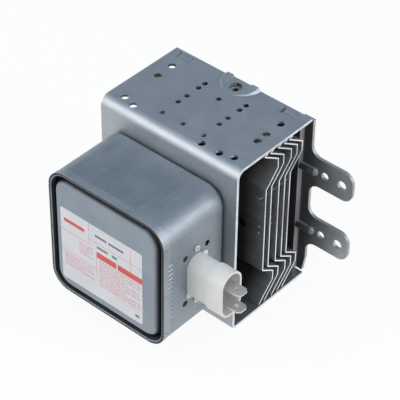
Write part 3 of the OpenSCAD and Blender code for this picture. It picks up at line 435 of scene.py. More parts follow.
# Painted shade on the plate's front thins out towards the ears' tips
ZINC_PLATE = SheetMetal("zinc_plate", (0.33, 0.335, 0.345), (0.39, 0.395, 0.405), (0.72, 0.73, 0.74),
                        grain=Grain.ALONG_Z, marks=0.08, line_depth=0.004 * MM,
                        shade_fades_from=38 * MM, shade_fades_to=60 * MM)
# Fin aluminium darkened as painted shade; its nearly white cut ends are bare metal and partly a painted
# highlight
FIN_SHEET = SheetMetal("fin_sheet", (0.34, 0.345, 0.35), (0.42, 0.425, 0.43), (0.96, 0.97, 0.98),
                       rub=0.9, shade_fades_from=27.3 * MM, shade_fades_to=39.3 * MM)
PLATED_CUP = SheetMetal("plated_cup", (0.46, 0.46, 0.45), (0.56, 0.56, 0.55), (0.75, 0.75, 0.74))
MESH_WIRE = SheetMetal("mesh_wire", (0.45, 0.44, 0.42), (0.55, 0.54, 0.52), (0.75, 0.74, 0.72))
RIVET_METAL = SheetMetal("rivet_metal", (0.50, 0.52, 0.54), (0.60, 0.62, 0.64), (0.85, 0.86, 0.87))
TIN_BLADE = SheetMetal("tin_blade", (0.56, 0.555, 0.55), (0.64, 0.635, 0.63), (0.82, 0.82, 0.81))
COPPER = SheetMetal("copper", (0.45, 0.19, 0.10), (0.58, 0.28, 0.16), (0.75, 0.42, 0.28))
CATHODE_METAL = SheetMetal("cathode_metal", (0.15, 0.15, 0.16), (0.24, 0.24, 0.25), (0.40, 0.40, 0.41))
FERRITE = PlainFinish("ferrite", (0.022, 0.022, 0.025), (0.045, 0.045, 0.048), roughness=0.55)
ALUMINA = PlainFinish("alumina", (0.72, 0.60, 0.56), (0.80, 0.70, 0.66), roughness=0.6)
SLEEVE = PlainFinish("sleeve_plastic", (0.71, 0.695, 0.665), (0.77, 0.755, 0.725), roughness=0.4)
POTTING = PlainFinish("potting_resin", (0.66, 0.62, 0.52), (0.74, 0.70, 0.61), roughness=0.45)
WIRE = PlainFinish("enamelled_wire", (0.30, 0.09, 0.03), (0.42, 0.16, 0.06), roughness=0.3, metallic=0.5)
STICKER = printed("sticker_white", (0.64, 0.635, 0.665), (0.69, 0.685, 0.715))
PRINT_RED = printed("print_red", (0.58, 0.07, 0.05), (0.64, 0.10, 0.08))
PRINT_CORAL = printed("print_coral", (0.60, 0.21, 0.21), (0.66, 0.28, 0.28))
PRINT_PINK = printed("print_pink", (0.66, 0.45, 0.46), (0.71, 0.52, 0.53))
PRINT_GREY = printed("print_grey", (0.13, 0.13, 0.14), (0.19, 0.19, 0.20))


class FinishShelf:
    """Keeps one material for each finish."""

    def __init__(self) -> None:
        """Starts with no material."""
        self.made: dict[str, bpy.types.Material] = {}

    def get(self, finish: Finish) -> bpy.types.Material:
        """Finds a finish's material, and makes it on its first use.

        Args:
            finish: The finish.

        Returns:
            Its material.
        """
        if finish.name not in self.made:
            self.made[finish.name] = finish.make()
        return self.made[finish.name]


SHELF = FinishShelf()


@dataclass(frozen=True)
class Easing:
    """How a solid's sharp edges are rounded.

    Attributes:
        width: Distance from the edge at which the rounding starts.
        segments: Steps of the rounding.
        sharp: Angle between two faces above which their edge is rounded.
    """

    width: float = 0.18 * MM
    segments: int = 2
    sharp: float = math.radians(32)


THIN = Easing(0.12 * MM)
DOMED = Easing(0.25 * MM, 3)
FULL = Easing(0.4 * MM, 3)


def new_object(name: str, bm: bmesh.types.BMesh, smooth: float = math.radians(40)) -> bpy.types.Object:
    """Turns a bmesh into an object at the origin.

    Args:
        name: Name of the object.
        bm: Mesh, which is freed.
        smooth: Angle above which an edge stays sharp.

    Returns:
        The new object.
    """
    mesh = bpy.data.meshes.new(name)
    bm.to_mesh(mesh)
    bm.free()
    mesh.shade_smooth()
    mesh.set_sharp_from_angle(angle=smooth)
    piece = bpy.data.objects.new(name, mesh)
    bpy.context.scene.collection.objects.link(piece)
    return piece


def joined_solid(node: str) -> bmesh.types.BMesh:
    """Copies a solid's mesh, merges its points and joins its flat triangles.

    Args:
        node: Name of the solid.

    Returns:
        The new mesh.
    """
    bm = bmesh.new()
    bm.from_mesh(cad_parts[node].data)
    bmesh.ops.remove_doubles(bm, verts=bm.verts[:], dist=MERGE)
    bmesh.ops.dissolve_limit(bm, angle_limit=FLAT, verts=bm.verts[:], edges=bm.edges[:])
    return bm


def eased_solid(node: str, easing: Easing) -> tuple[bmesh.types.BMesh, set[bmesh.types.BMFace]]:
    """Copies a solid's mesh and rounds its sharp edges.

    Args:
        node: Name of the solid.
        easing: How the edges are rounded.

    Returns:
        The new mesh and the faces of its rounded edges.
    """
    bm = joined_solid(node)
    edges = [edge for edge in bm.edges if edge.is_manifold and edge.calc_face_angle(0.0) > easing.sharp]
    rounded = bmesh.ops.bevel(bm, geom=edges, offset=easing.width, offset_type="OFFSET",
                              segments=easing.segments, profile=0.5, affect="EDGES", material=-1,
                              clamp_overlap=True)
    bm.normal_update()
    return bm, set(rounded["faces"])


def divide(bm: bmesh.types.BMesh, place: Vector, normal: Vector) -> None:
    """Cuts every face along a plane.

    Args:
        bm: Mesh to cut.
        place: A point of the plane.
        normal: The plane's direction.
    """
    geometry = bm.verts[:] + bm.edges[:] + bm.faces[:]
    bmesh.ops.bisect_plane(bm, geom=geometry, dist=CUT, plane_co=place, plane_no=normal)


def paint(bm: bmesh.types.BMesh, layer: Layer, level: Level) -> None:
    """Raises a layer to a level worked out for each corner of each face.

    Args:
        bm: Mesh to paint.
        layer: Layer to write.
        level: Gives the level at a face's corner.
    """
    marks = bm.loops.layers.float.get(layer.value) or bm.loops.layers.float.new(layer.value)
    for face in bm.faces:
        for loop in face.loops:
            loop[marks] = max(loop[marks], level(loop))


def held(value: float) -> float:
    """Holds a level between 0 and 1."""
    return min(max(value, 0.0), 1.0)


@dataclass
class FramedPiece:
    """Piece that stands for one solid and knows the solid's box.

    Attributes:
        node: Name of the solid.
        slot: Material slot of the record; not used.
        low: Lowest corner of the solid's box.
        high: Highest corner of the box.
        middle: Middle of the box.
        half: Half the box's size.
    """

    node: str
    slot: str
    low: Vector = field(init=False)
    high: Vector = field(init=False)
    middle: Vector = field(init=False)
    half: Vector = field(init=False)

    def __post_init__(self) -> None:
        """Looks up the solid's box."""
        self.low, self.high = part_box(self.node)
        self.middle = (self.low + self.high) / 2
        self.half = (self.high - self.low) / 2

    def adopt(self, piece: bpy.types.Object) -> bpy.types.Object:
        """Lets a finished piece ride on the part and stand for the solid.

        Args:
            piece: The finished piece.

        Returns:
            The same piece.
        """
        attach(piece, "root")
        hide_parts(self.node)
        LOG.info("%s: %d faces", piece.name, len(piece.data.polygons))
        return piece


@dataclass
class EasedPiece(FramedPiece):
    """Solid whose shape is right: it gets rounded edges and its finish.

    Attributes:
        finish: Finish of the piece.
        easing: How its edges are rounded.
        end_depth: How near the open ends a cut face lies.
    """

    finish: Finish
    easing: Easing = field(default_factory=Easing)
    end_depth: float = 0.5 * MM

    def build(self) -> bpy.types.Object:
        """Rounds, paints and dresses the solid's copy.

        Returns:
            The piece that stands for the solid.
        """
        bm, rounded = eased_solid(self.node, self.easing)
        paint(bm, Layer.WEAR, lambda loop: self.wear(loop.vert.co) if loop.face in rounded else 0.0)
        self.mark(bm)
        piece = new_object(f"{self.node}_eased", bm)
        piece.data.materials.append(SHELF.get(self.finish))
        weights = piece.modifiers.new("face_weights", "WEIGHTED_NORMAL")
        weights.keep_sharp = True
        return self.adopt(piece)

    def wear(self, place: Vector) -> float:
        """Returns how far an edge is worn at a place; a plain piece's edges are all worn."""
        return 1.0

    def mark(self, bm: bmesh.types.BMesh) -> None:
        """Paints further wear or grime; a plain piece has none."""

    def cut_end(self, loop: bmesh.types.BMLoop) -> float:
        """Returns 1 on the cut faces at the sheet's open ends, and 0 elsewhere."""
        at_end = abs(loop.vert.co.x) > self.high.x - self.end_depth
        return 1.0 if at_end and abs(loop.face.normal.x) > LOOKS else 0.0


@dataclass
class YokeShell(EasedPiece):
    """Folded yoke: bare bright ends, softer edges elsewhere, and painted shade inside.

    Attributes:
        painted_shade: Share of painted shade inside.
        soft: Wear of the edges away from the open ends.
        worn_end: How near the open ends an edge is fully worn.
        inwards: Least distance from the middle line of a face that counts as inside.
    """

    painted_shade: float = 0.9
    soft: float = 0.3
    worn_end: float = 0.6 * MM
    inwards: float = 10 * MM

    def wear(self, place: Vector) -> float:
        """Wears the edges at the open ends most."""
        return 1.0 if abs(place.x) > self.high.x - self.worn_end else self.soft

    def mark(self, bm: bmesh.types.BMesh) -> None:
        """Paints the cut ends bright and painted shade on the faces that look inwards."""
        paint(bm, Layer.WEAR, self.cut_end)
        # Painted shade on the faces that look inwards
        paint(bm, Layer.GRIME, self.inside)

    def inside(self, loop: bmesh.types.BMLoop) -> float:
        """Works out the painted shade inside the yoke.

        Args:
            loop: Corner of a face.

        Returns:
            The share of painted shade, on a face that looks towards the yoke's middle line.
        """
        normal, place = loop.face.normal, loop.face.calc_center_median()
        outwards = normal.y * (place.y - self.middle.y) + normal.z * place.z
        return self.painted_shade if outwards < -self.inwards and abs(normal.x) < LEANS else 0.0


@dataclass
class MountPlate(EasedPiece):
    """Plate behind the fins: painted shade on its front side, fading out towards the ears' tips.

    Attributes:
        painted_shade: Share of painted shade on the front side.
    """

    painted_shade: float = 0.75

    def mark(self, bm: bmesh.types.BMesh) -> None:
        """Paints shade on the front side."""
        # Painted shade on the faces that look forwards
        paint(bm, Layer.GRIME, lambda loop: self.painted_shade if loop.face.normal.y < -LEANS else 0.0)


@dataclass
class FinSheet(EasedPiece):
    """One cooling fin: bright cut ends, partly a painted highlight, and painted shade towards the tube.

    Attributes:
        painted_shade: Share of painted shade on the sheet.
    """

    painted_shade: float = 0.9

    def mark(self, bm: bmesh.types.BMesh) -> None:
        """Paints the cut ends bright and painted shade over the sheet."""
        # Bright cut ends: bare cut metal and partly a painted highlight
        paint(bm, Layer.WEAR, self.cut_end)
        # Painted shade over the whole sheet, thinned towards the open ends by the finish
        paint(bm, Layer.GRIME, lambda loop: self.painted_shade)


@dataclass
class BoxShell(EasedPiece):
    """Drawn filter box: painted shade at the rim end, inside and foot, a pale band behind the rim,
    unworn dents.

    Attributes:
        rim: How near the front a point belongs to the rim's end.
        rim_lean: Least forward share of a normal on the rim's end.
        rim_flat: Forward share from which the end counts as flat.
        rim_shade: Painted shade on the rim's end.
        dents_from: Distance behind the front where the dents start.
        dents_to: Distance behind the front where they stop.
        dents_deep: Distance inside the side walls that takes in the dents.
        band: Distance behind the front where the pale band stops.
        band_fade: Width over which the band fades.
        band_wear: Wear of the band.
        inner_lean: Least inward share of a normal inside the box.
        inner_shade: Painted shade inside.
        foot: Width of the painted shadow along the yoke.
        foot_shadow: Strength of that painted shadow.
    """

    rim: float = 0.3 * MM
    rim_lean: float = 0.2
    rim_flat: float = 0.95
    rim_shade: float = 0.93
    dents_from: float = 0.6 * MM
    dents_to: float = 7 * MM
    dents_deep: float = 0.8 * MM
    band: float = 4.6 * MM
    band_fade: float = 0.8 * MM
    band_wear: float = 0.35
    inner_lean: float = 0.3
    inner_shade: float = 0.95
    foot: float = 0.8 * MM
    foot_shadow: float = 0.7

    def wear(self, place: Vector) -> float:
        """Wears every edge but the dents'."""
        beside_rim = self.dents_from < place.y - self.low.y < self.dents_to
        return 0.0 if beside_rim and abs(place.x) > self.high.x - self.dents_deep else 1.0

    def mark(self, bm: bmesh.types.BMesh) -> None:
        """Paints the band behind the rim, then painted shade on the rim's end, the inside and the foot.

        Args:
            bm: Mesh to paint, which is cut along the edges of the band.
        """
        for behind in (self.band - self.band_fade, self.band):
            divide(bm, Vector((0, self.low.y + behind, 0)), Vector((0, 1, 0)))
        paint(bm, Layer.WEAR, self.banded)
        # Painted shade on the rim's end and inside, and a painted shadow along the foot
        paint(bm, Layer.GRIME, self.dark)

    def banded(self, loop: bmesh.types.BMLoop) -> float:
        """Returns the wear of the band behind the rim, which fades at its back."""
        return self.band_wear * held((self.low.y + self.band - loop.vert.co.y) / self.band_fade)

    def dark(self, loop: bmesh.types.BMLoop) -> float:
        """Works out the painted shade inside and on the rim's end, and the painted shadow along the foot
        on the yoke.

        Args:
            loop: Corner of a face.

        Returns:
            The share of painted shade.
        """
        place, normal = loop.vert.co, loop.face.normal
        if normal.x * place.x + normal.z * place.z < -self.inner_lean * place.length:
            return self.inner_shade
        if place.y < self.low.y + self.rim and normal.y < -self.rim_lean:
            return self.rim_shade if normal.y < -self.rim_flat or normal.x + normal.z < 0 else 0.0
        return self.foot_shadow * held(1 - (self.high.y - place.y) / self.foot)


@dataclass
class LidPressing(EasedPiece):
    """Pressed lid with painted shade in its groove and on its lip, most on what lies up and to the
    right.

    Attributes:
        unshaded_depth: Depth down to which a ledge that faces down and left stays free of painted shade.
        ledge: How much higher the painted shade starts on a ledge that faces up and right.
        shade_ramp: Depth over which the painted shade deepens.
        groove_shade: Greatest painted shade in the groove.
        level: Least sideways share of a normal on a ledge.
        corner: Radius of the outline's corners.
        lip: Width of the lip round the groove.
        lip_shade: Greatest painted shade on the lip.
        lip_share: Share of that shade at the two corners between dark and unshaded sides.
    """

    unshaded_depth: float = 0.9 * MM
    ledge: float = 0.9 * MM
    shade_ramp: float = 0.9 * MM
    groove_shade: float = 0.96
    level: float = 0.05
    corner: float = 9 * MM
    lip: float = 1.0 * MM
    lip_shade: float = 0.9
    lip_share: float = 0.45

    def mark(self, bm: bmesh.types.BMesh) -> None:
        """Paints shade in the groove, darker with its depth, and then on the lip."""
        # Painted shade in the groove and on the lip
        paint(bm, Layer.GRIME, self.grooved)
        paint(bm, Layer.GRIME, self.lipped)

    def grooved(self, loop: bmesh.types.BMLoop) -> float:
        """Works out the painted shade in the groove, which starts higher on ledges that face up and
        right.

        Args:
            loop: Corner of a face.

        Returns:
            The share of painted shade.
        """
        normal = loop.vert.normal
        across = math.hypot(normal.x, normal.z)
        facing = held(0.5 + 0.5 * (normal.x + normal.z) / across) if across > self.level else 0.5
        depth = loop.vert.co.y - self.low.y - self.unshaded_depth + self.ledge * facing
        return self.groove_shade * held(depth / self.shade_ramp)

    def lipped(self, loop: bmesh.types.BMLoop) -> float:
        """Works out the painted shade on the lip round the groove, which thins out to the left and
        below.

        Args:
            loop: Corner of a face.

        Returns:
            The share of painted shade.
        """
        place = loop.vert.co
        if self.inset(place) > self.lip:
            return 0.0
        side = (place.x - self.middle.x) / self.half.x + (place.z - self.middle.z) / self.half.z
        return self.lip_shade * held(self.lip_share + side)

    def inset(self, place: Vector) -> float:
        """Measures how far a place lies inside the lid's rounded outline.

        Args:
            place: The place.

        Returns:
            The distance, which is not more than the radius of the corners.
        """
        across = abs(place.x - self.middle.x) - self.half.x + self.corner
        up = abs(place.z - self.middle.z) - self.half.z + self.corner
        return self.corner - math.hypot(max(across, 0.0), max(up, 0.0))


class Ink(Enum):
    """Colours of the sticker, in the order of its material slots."""

    WHITE = STICKER
    RED = PRINT_RED
    CORAL = PRINT_CORAL
    PINK = PRINT_PINK
    GREY = PRINT_GREY


@dataclass(frozen=True)
class PrintField:
    """Plain field of colour, in millimetres from the sticker's upper left corner."""

    ink: Ink
    left: float
    top: float
    width: float
    height: float

    def holds(self, across: float, down: float) -> bool:
        """Tells whether a point in millimetres lies in the field."""
        return 0 < across - self.left < self.width and 0 < down - self.top < self.height


@dataclass(frozen=True)
class LineBlock:
    """Block of fine broken lines, in millimetres, of which every fourth is shorter.

    Attributes:
        ink: Colour of the lines.
        left: Left edge of the block.
        top: Upper edge of the first line.
        width: Width of the long lines.
        count: Number of lines.
        pitch: Distance from line to line.
        height: Height of a line.
        gap: Gap between two dashes.
        dashes: Lengths of the dashes, which take turns.
        shift: How many dashes further on each line starts.
        every: Number of lines up to and including a short one.
        short: Share of the width that a short line has.
    """

    ink: Ink
    left: float
    top: float
    width: float
    count: int
    pitch: float = 1.45
    height: float = 0.5
    gap: float = 0.5
    dashes: tuple[float, ...] = (3.0, 1.5, 4.0, 2.5, 3.5, 1.5, 3.0)
    shift: int = 3
    every: int = 4
    short: float = 0.7

    def fields(self) -> list[PrintField]:
        """Lays out the lines.

        Returns:
            One field for each dash.
        """
        fields = []
        for row in range(self.count):
            end = self.width * (self.short if (row + 1) % self.every == 0 else 1.0)
            top = self.top + self.pitch * row
            at, turn = 0.0, self.shift * row
            while at < end - self.gap:
                dash = min(self.dashes[turn % len(self.dashes)], end - at)
                fields.append(PrintField(self.ink, self.left + at, top, dash, self.height))
                at, turn = at + dash + self.gap, turn + 1
        return fields


@dataclass
class PrintedSticker(FramedPiece):
    """Sticker on the lid: white, with plain bands, rules and broken lines.

    Attributes:
        rule: Width of the rules in millimetres.
    """

    node: str = "label"
    slot: str = "sticker"
    rule: float = 0.3

    def fields(self) -> list[PrintField]:
        """Lists what is printed.

        Returns:
            The printed fields, upper ones first.
        """
        return [
            PrintField(Ink.RED, 2.0, 5.4, 12.5, 2.0),
            PrintField(Ink.CORAL, 17.2, 0.0, self.rule, 12.6),
            PrintField(Ink.CORAL, 0.0, 12.3, 17.5, self.rule),
            PrintField(Ink.GREY, 21.0, 4.6, 7.0, 1.3),
            PrintField(Ink.GREY, 29.0, 4.6, 9.0, 1.3),
            PrintField(Ink.CORAL, 17.5, 9.0, 31.5, self.rule),
            PrintField(Ink.GREY, 22.0, 10.8, 6.5, 1.3),
            PrintField(Ink.GREY, 31.0, 10.8, 3.0, 1.3),
            PrintField(Ink.CORAL, 42.0, 1.0, self.rule, 13.0),
            PrintField(Ink.RED, 21.8, 14.2, 11.8, 3.4),
            PrintField(Ink.RED, 34.4, 14.2, 14.6, 3.4),
            PrintField(Ink.CORAL, 21.4, 14.2, self.rule, 16.4),
            *LineBlock(Ink.CORAL, 11.0, 14.4, 8.5, 5).fields(),
            PrintField(Ink.CORAL, 0.0, 24.6, 21.4, self.rule),
            *LineBlock(Ink.CORAL, 2.0, 26.2, 18.0, 5).fields(),
            *LineBlock(Ink.CORAL, 23.0, 18.6, 25.0, 11).fields(),
            *LineBlock(Ink.PINK, 31.0, 35.2, 16.5, 1).fields(),
            PrintField(Ink.GREY, 44.5, 37.2, 2.5, 1.6),
        ]

    def build(self) -> bpy.types.Object:
        """Divides the sticker's front face into the printed fields and dresses them.

        Returns:
            The printed sticker.
        """
        low, high = self.low, self.high
        fields = self.fields()
        bm = joined_solid(self.node)
        for across in sorted({edge for f in fields for edge in (f.left, f.left + f.width)}):
            divide(bm, Vector((low.x + across * MM, 0, 0)), Vector((1, 0, 0)))
        for down in sorted({edge for f in fields for edge in (f.top, f.top + f.height)}):
            divide(bm, Vector((0, 0, high.z - down * MM)), Vector((0, 0, 1)))
        inks = list(Ink)
        for face in bm.faces:
            if face.normal.y < -LOOKS:
                middle = face.calc_center_median()
                across, down = (middle.x - low.x) / MM, (high.z - middle.z) / MM
                found = [f.ink for f in fields if f.holds(across, down)]
                face.material_index = inks.index(found[-1] if found else Ink.WHITE)
        piece = new_object(f"{self.node}_printed", bm)
        for ink in inks:
            piece.data.materials.append(SHELF.get(ink.value))
        return self.adopt(piece)


@dataclass
class KnittedGasket(FramedPiece):
    """Gasket of knitted wire: two families of strands wound round a dark core.

    Attributes:
        inner_r: Inner radius of the ring.
        wire_r: Radius of the wire.
        strands: Number of strands in each family.
        skew: How many strands further on a strand ends when it has gone round the section.
        steps: Steps round the section.
        sides: Sides of the wire's own section.
        smooth: Angle above which an edge stays sharp.
    """

    node: str = "antenna_gasket"
    slot: str = "gasket_mesh"
    inner_r: float = 9.7 * MM
    wire_r: float = 0.2 * MM
    strands: int = 36
    skew: int = 4
    steps: int = 48
    sides: int = 6
    smooth: float = math.radians(70)

    def build(self) -> bpy.types.Object:
        """Winds the core and the strands and dresses them.

        Returns:
            The knitted gasket.
        """
        bm = bmesh.new()
        self.wind_core(bm)
        core_faces = len(bm.faces)
        for way in (1, -1):
            self.wind_strands(bm, way)
        bm.faces.ensure_lookup_table()
        for index, face in enumerate(bm.faces):
            face.material_index = 0 if index < core_faces else 1
        bmesh.ops.recalc_face_normals(bm, faces=bm.faces[:])
        piece = new_object(f"{self.node}_knitted", bm, self.smooth)
        piece.data.materials.append(SHELF.get(CATHODE_METAL))
        piece.data.materials.append(SHELF.get(MESH_WIRE))
        return self.adopt(piece)

    def section(self, turn: float, inset: float) -> Vector:
        """Works out a point of the ring's soft square section in the plane of X and Y.

        Args:
            turn: Place round the section, from 0 to 1.
            inset: Distance inside the gasket's surface.

        Returns:
            The point.
        """
        half_w, half_h = (self.high.x - self.inner_r) / 2 - inset, self.half.y - inset
        cosine, sine = math.cos(2 * math.pi * turn), math.sin(2 * math.pi * turn)
        across = math.copysign(math.sqrt(abs(cosine)), cosine) * half_w
        along = math.copysign(math.sqrt(abs(sine)), sine) * half_h
        return Vector(((self.high.x + self.inner_r) / 2 + across, self.middle.y + along, 0))

    def wind_core(self, bm: bmesh.types.BMesh) -> None:
        """Spins the core's section round the tube's axis.

        Args:
            bm: Mesh to add to.
        """
        loop = bmesh.ops.create_circle(bm, segments=self.steps, radius=MM)
        for index, vert in enumerate(loop["verts"]):
            vert.co = self.section(index / self.steps, 2 * self.wire_r)
        edges = list({edge for vert in loop["verts"] for edge in vert.link_edges})
        bmesh.ops.spin(bm, geom=loop["verts"] + edges, axis=(0, 1, 0), cent=(0, 0, 0), angle=2 * math.pi,
                       steps=2 * self.strands, use_merge=True)

    def wind_strands(self, bm: bmesh.types.BMesh, way: int) -> None:
        """Sweeps one strand round the section and copies it round the ring.

        Args:
            bm: Mesh to add to.
            way: 1 for strands that lean one way, -1 for the other.
        """
        lean = way * self.skew * 2 * math.pi / self.strands
        weave = (0.5 + 0.5 * way) * self.wire_r
        path = []
        for step in range(self.steps + 1):
            turn = step / self.steps
            place = self.section(turn, self.wire_r + weave)
            path.append(Matrix.Rotation(lean * turn, 3, "Y") @ place)
        swept = sweep(bm, path, self.wire_r, self.sides)
        bmesh.ops.spin(bm, geom=swept, axis=(0, 1, 0), cent=(0, 0, 0), angle=2 * math.pi,
                       steps=self.strands - 1, use_duplicate=True)


def sweep(bm: bmesh.types.BMesh, path: Sequence[Vector], radius: float, sides: int) -> list[Geometry]:
    """Sweeps a round wire along a path by bridging one circle to the next.

    Args:
        bm: Mesh to add to.
        path: Points of the wire's middle line.
        radius: Radius of the wire.
        sides: Sides of its section.

    Returns:
        The wire's points, edges and faces.
    """
    made: set[Geometry] = set()
    last: list[bmesh.types.BMEdge] = []
    for index, place in enumerate(path):
        ahead = path[min(index + 1, len(path) - 1)] - path[max(index - 1, 0)]
        stand = Matrix.Translation(place) @ ahead.to_track_quat("Z", "Y").to_matrix().to_4x4()
        ring = bmesh.ops.create_circle(bm, segments=sides, radius=radius, matrix=stand)
        edges = list({edge for vert in ring["verts"] for edge in vert.link_edges})
        made.update(ring["verts"], edges)
        if last:
            bridged = bmesh.ops.bridge_loops(bm, edges=last + edges)
            made.update(bridged["faces"], bridged["edges"])
        last = edges
    return list(made)


@dataclass
class InnerSolids:
    """Solids that are closed in or mostly hidden: they keep their meshes and get a finish."""

    finish: Finish
    nodes: Sequence[str]

    def dress(self) -> None:
        """Puts the finish on every solid."""
        for node in self.nodes:
            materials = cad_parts[node].data.materials
            materials.clear()
            materials.append(SHELF.get(self.finish))


@dataclass(frozen=True)
class Lamp:
    """Square lamp that looks at the part.

    Attributes:
        name: Name of the lamp.
        place: Place of its middle.
        size: Length of its side.
        power: Power in watts.
        colour: Colour of its light.
        target: Point that it looks at.
    """

    name: str
    place: Triple
    size: float
    power: float
    colour: Colour = (1.0, 1.0, 1.0)
    target: Triple = (0.0, -40 * MM, 0.0)

    def hang(self) -> None:
        """Adds the lamp to the scene."""
        data = bpy.data.lights.new(self.name, "AREA")
        data.size = self.size
        data.energy = self.power
        data.color = self.colour
        lamp = bpy.data.objects.new(self.name, data)
        bpy.context.scene.collection.objects.link(lamp)
        lamp.location = self.place
        aim = Vector(self.target) - Vector(self.place)
        lamp.rotation_euler = aim.to_track_quat("-Z", "Y").to_euler()


@dataclass
class Studio:
    """White floor, blue-grey overhead panel and soft lamps.

    Attributes:
        half: Half the floor's side.
        floor_tones: The two tones of the floor.
        panel: Middle of the panel.
        panel_half: Half the panel's side.
        panel_tones: The two tones of the panel.
        mottle: Size of the changes between two tones.
        matt: Roughness of the floor and the panel.
        daylight: Strength of the white surroundings as a light.
        glow: Share of plain white in what the camera and reflections see of the floor.
    """

    half: float = 3.0
    floor_tones: tuple[Colour, Colour] = ((0.90, 0.90, 0.90), (0.93, 0.93, 0.93))
    panel: Triple = (-0.8, 1.7, 1.6)
    panel_half: float = 2.6
    panel_tones: tuple[Colour, Colour] = ((0.58, 0.71, 0.87), (0.62, 0.75, 0.91))
    mottle: float = 0.4
    matt: float = 0.9
    daylight: float = 0.35
    glow: float = 0.92
    lamps: tuple[Lamp, ...] = (
        Lamp("key_front_left", (-0.5, -1.2, 0.7), 1.4, 10.5, (1.0, 0.985, 0.96)),
        Lamp("side_right", (1.0, 0.3, 0.5), 1.0, 7.0),
        Lamp("top_soft", (0.15, -0.35, 1.2), 1.5, 4.2, (0.82, 0.92, 1.0)),
    )

    def build(self) -> None:
        """Makes the world, the floor, the panel and the lamps."""
        self.light_world()
        self.lay_floor()
        self.hang_panel()
        for lamp in self.lamps:
            lamp.hang()

    def light_world(self) -> None:
        """Shows white to the camera and to reflections, and lights the part softly."""
        world = bpy.data.worlds.new("studio")
        bpy.context.scene.world = world
        world.use_nodes = True
        tree = world.node_tree
        ground = tree.nodes["Background"]
        ground.inputs["Color"].default_value = (1.0, 1.0, 1.0, 1.0)
        level = tree.nodes.new("ShaderNodeMapRange")
        tree.links.new(shown_rays(tree), level.inputs["Value"])
        level.inputs["To Min"].default_value = self.daylight
        level.inputs["To Max"].default_value = 1.0
        tree.links.new(level.outputs["Result"], ground.inputs["Strength"])

    def plane(self, name: str, middle: Triple, half: float, tones: tuple[Colour, Colour]) -> ShaderTree:
        """Lays a large level sheet of the stage.

        Args:
            name: Name of the sheet.
            middle: Middle of the sheet.
            half: Half its side.
            tones: The two tones of its paint.

        Returns:
            The tree of its paint.
        """
        bm = bmesh.new()
        bmesh.ops.create_grid(bm, x_segments=1, y_segments=1, size=half)
        bmesh.ops.translate(bm, verts=bm.verts[:], vec=middle)
        sheet = new_object(name, bm)
        tree = ShaderTree(f"{name}_paint")
        tree.set(Roughness=self.matt, Specular_IOR_Level=0.0)
        mottled = tree.band(tree.noise(self.mottle, detail=2.0), BROAD)
        tree.feed("Base Color", tree.mix(mottled, *tones))
        sheet.data.materials.append(tree.material)
        return tree

    def lay_floor(self) -> None:
        """Lays the white floor, which keeps a soft shadow, under the yoke's bottom wall."""
        tree = self.plane("floor", (0.0, 0.0, CAD_BOX[0].z), self.half, self.floor_tones)
        white = tree.nodes.new("ShaderNodeEmission")
        share = tree.nodes.new("ShaderNodeMapRange")
        share.inputs["To Max"].default_value = self.glow
        tree.links.new(shown_rays(tree.material.node_tree), share.inputs["Value"])
        blend = tree.nodes.new("ShaderNodeMixShader")
        tree.links.new(share.outputs["Result"], blend.inputs[0])
        tree.links.new(tree.shader.outputs[0], blend.inputs[1])
        tree.links.new(white.outputs[0], blend.inputs[2])
        tree.links.new(blend.outputs[0], tree.nodes["Material Output"].inputs["Surface"])

    def hang_panel(self) -> None:
        """Hangs the blue-grey panel behind, which keeps the top wall from mirroring white."""
        self.plane("overhead_panel", self.panel, self.panel_half, self.panel_tones)


@dataclass
class PhotoCamera:
    """Camera at the photograph's viewing angle, worked out for its square frame.

    Attributes:
        azimuth: Turn from the part's front towards its right, in degrees.
        elevation: Angle above the level, in degrees.
        roll: Tilt of the picture, in degrees.
        distance: Distance from the point that it looks at.
        lens: Focal length in millimetres.
        sensor: Width of the sensor in millimetres.
        slide: How far that point lies to the right of the front wall's middle and above it.
        clip: Least distance that is shown.
    """

    azimuth: float = 40.688
    elevation: float = 40.372
    roll: float = 0.937
    distance: float = 828.5 * MM
    lens: float = 165.285
    sensor: float = 36.0
    slide: tuple[float, float] = (14.772 * MM, 6.703 * MM)
    clip: float = 50 * MM

    def build(self) -> None:
        """Makes the scene's camera, which looks past the middle of the yoke's front wall."""
        turn, rise, roll = (math.radians(angle) for angle in (self.azimuth, self.elevation, self.roll))
        level = math.cos(rise)
        back = Vector((math.sin(turn) * level, -math.cos(turn) * level, math.sin(rise)))
        right = Vector((math.cos(turn), math.sin(turn), 0.0))
        up = back.cross(right)
        rolled_right = math.cos(roll) * right + math.sin(roll) * up
        rolled_up = math.cos(roll) * up - math.sin(roll) * right
        data = bpy.data.cameras.new("photo_camera")
        data.lens = self.lens
        data.sensor_width = self.sensor
        data.clip_start = self.clip
        camera = bpy.data.objects.new("photo_camera", data)
        bpy.context.scene.collection.objects.link(camera)
        front = Vector((0.0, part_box("yoke")[0].y, 0.0))
        aim = front + self.slide[0] * rolled_right + self.slide[1] * rolled_up
        axes = Matrix((rolled_right, rolled_up, back)).transposed().to_4x4()
        camera.matrix_world = Matrix.Translation(aim + self.distance * back) @ axes
        bpy.context.scene.camera = camera


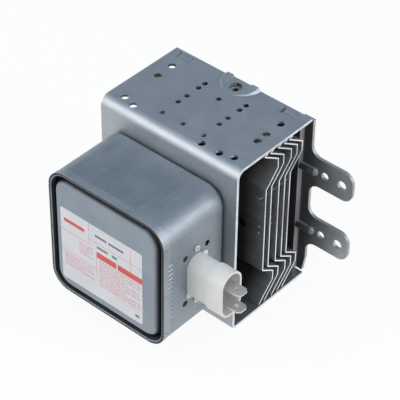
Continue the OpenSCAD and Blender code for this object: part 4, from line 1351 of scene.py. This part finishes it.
def main() -> None:
    """Builds the studio and dresses every piece in order."""
    logging.basicConfig(level=logging.INFO, format="%(message)s")
    bpy.context.scene.view_settings.view_transform = "Standard"
    PhotoCamera().build()
    Studio().build()
    YokeShell("yoke", "yoke_steel", ZINC_YOKE).build()
    MountPlate("mounting_plate", "plate_steel", ZINC_PLATE).build()
    for fin in FINS:
        FinSheet(fin, "fin_aluminium", FIN_SHEET, THIN).build()
    BoxShell("filter_box", "box_steel", ZINC_BOX).build()
    LidPressing("filter_lid", "lid_steel", ZINC_LID).build()
    PrintedSticker().build()
    for magnet in ("front_magnet", "rear_magnet"):
        EasedPiece(magnet, "magnet_ferrite", FERRITE, FULL).build()
    EasedPiece("anode_cylinder", "copper", COPPER).build()
    for cup in ("front_seal_cup", "rear_seal_cup", "antenna_cap"):
        EasedPiece(cup, "tube_steel", PLATED_CUP, THIN).build()
    KnittedGasket().build()
    EasedPiece("antenna_ceramic", "alumina", ALUMINA).build()
    EasedPiece("capacitor_sleeve", "sleeve_plastic", SLEEVE, FULL).build()
    EasedPiece("capacitor_potting", "potting_resin", POTTING).build()
    for blade in ("upper_blade", "lower_blade"):
        EasedPiece(blade, "blade_metal", TIN_BLADE, THIN).build()
    for rivets in ("box_rivets", "capacitor_rivets"):
        EasedPiece(rivets, "rivet_metal", RIVET_METAL, DOMED).build()
    InnerSolids(COPPER, VANES + STRAPS + ["antenna_lead", "exhaust_stem"]).dress()
    InnerSolids(PLATED_CUP, ["front_pole_piece", "rear_pole_piece", "capacitor_flange",
                             "upper_stem_terminal", "lower_stem_terminal"]).dress()
    InnerSolids(CATHODE_METAL, ["cathode_filament", "front_end_shield", "rear_end_shield",
                                "centre_lead", "side_lead"]).dress()
    InnerSolids(ALUMINA, ["stem_ceramic"]).dress()
    InnerSolids(POTTING, ["capacitor_body"]).dress()
    InnerSolids(FERRITE, ["upper_choke_core", "lower_choke_core"]).dress()
    InnerSolids(WIRE, ["upper_choke_coil", "lower_choke_coil"]).dress()


if __name__ == "__main__":
    main()
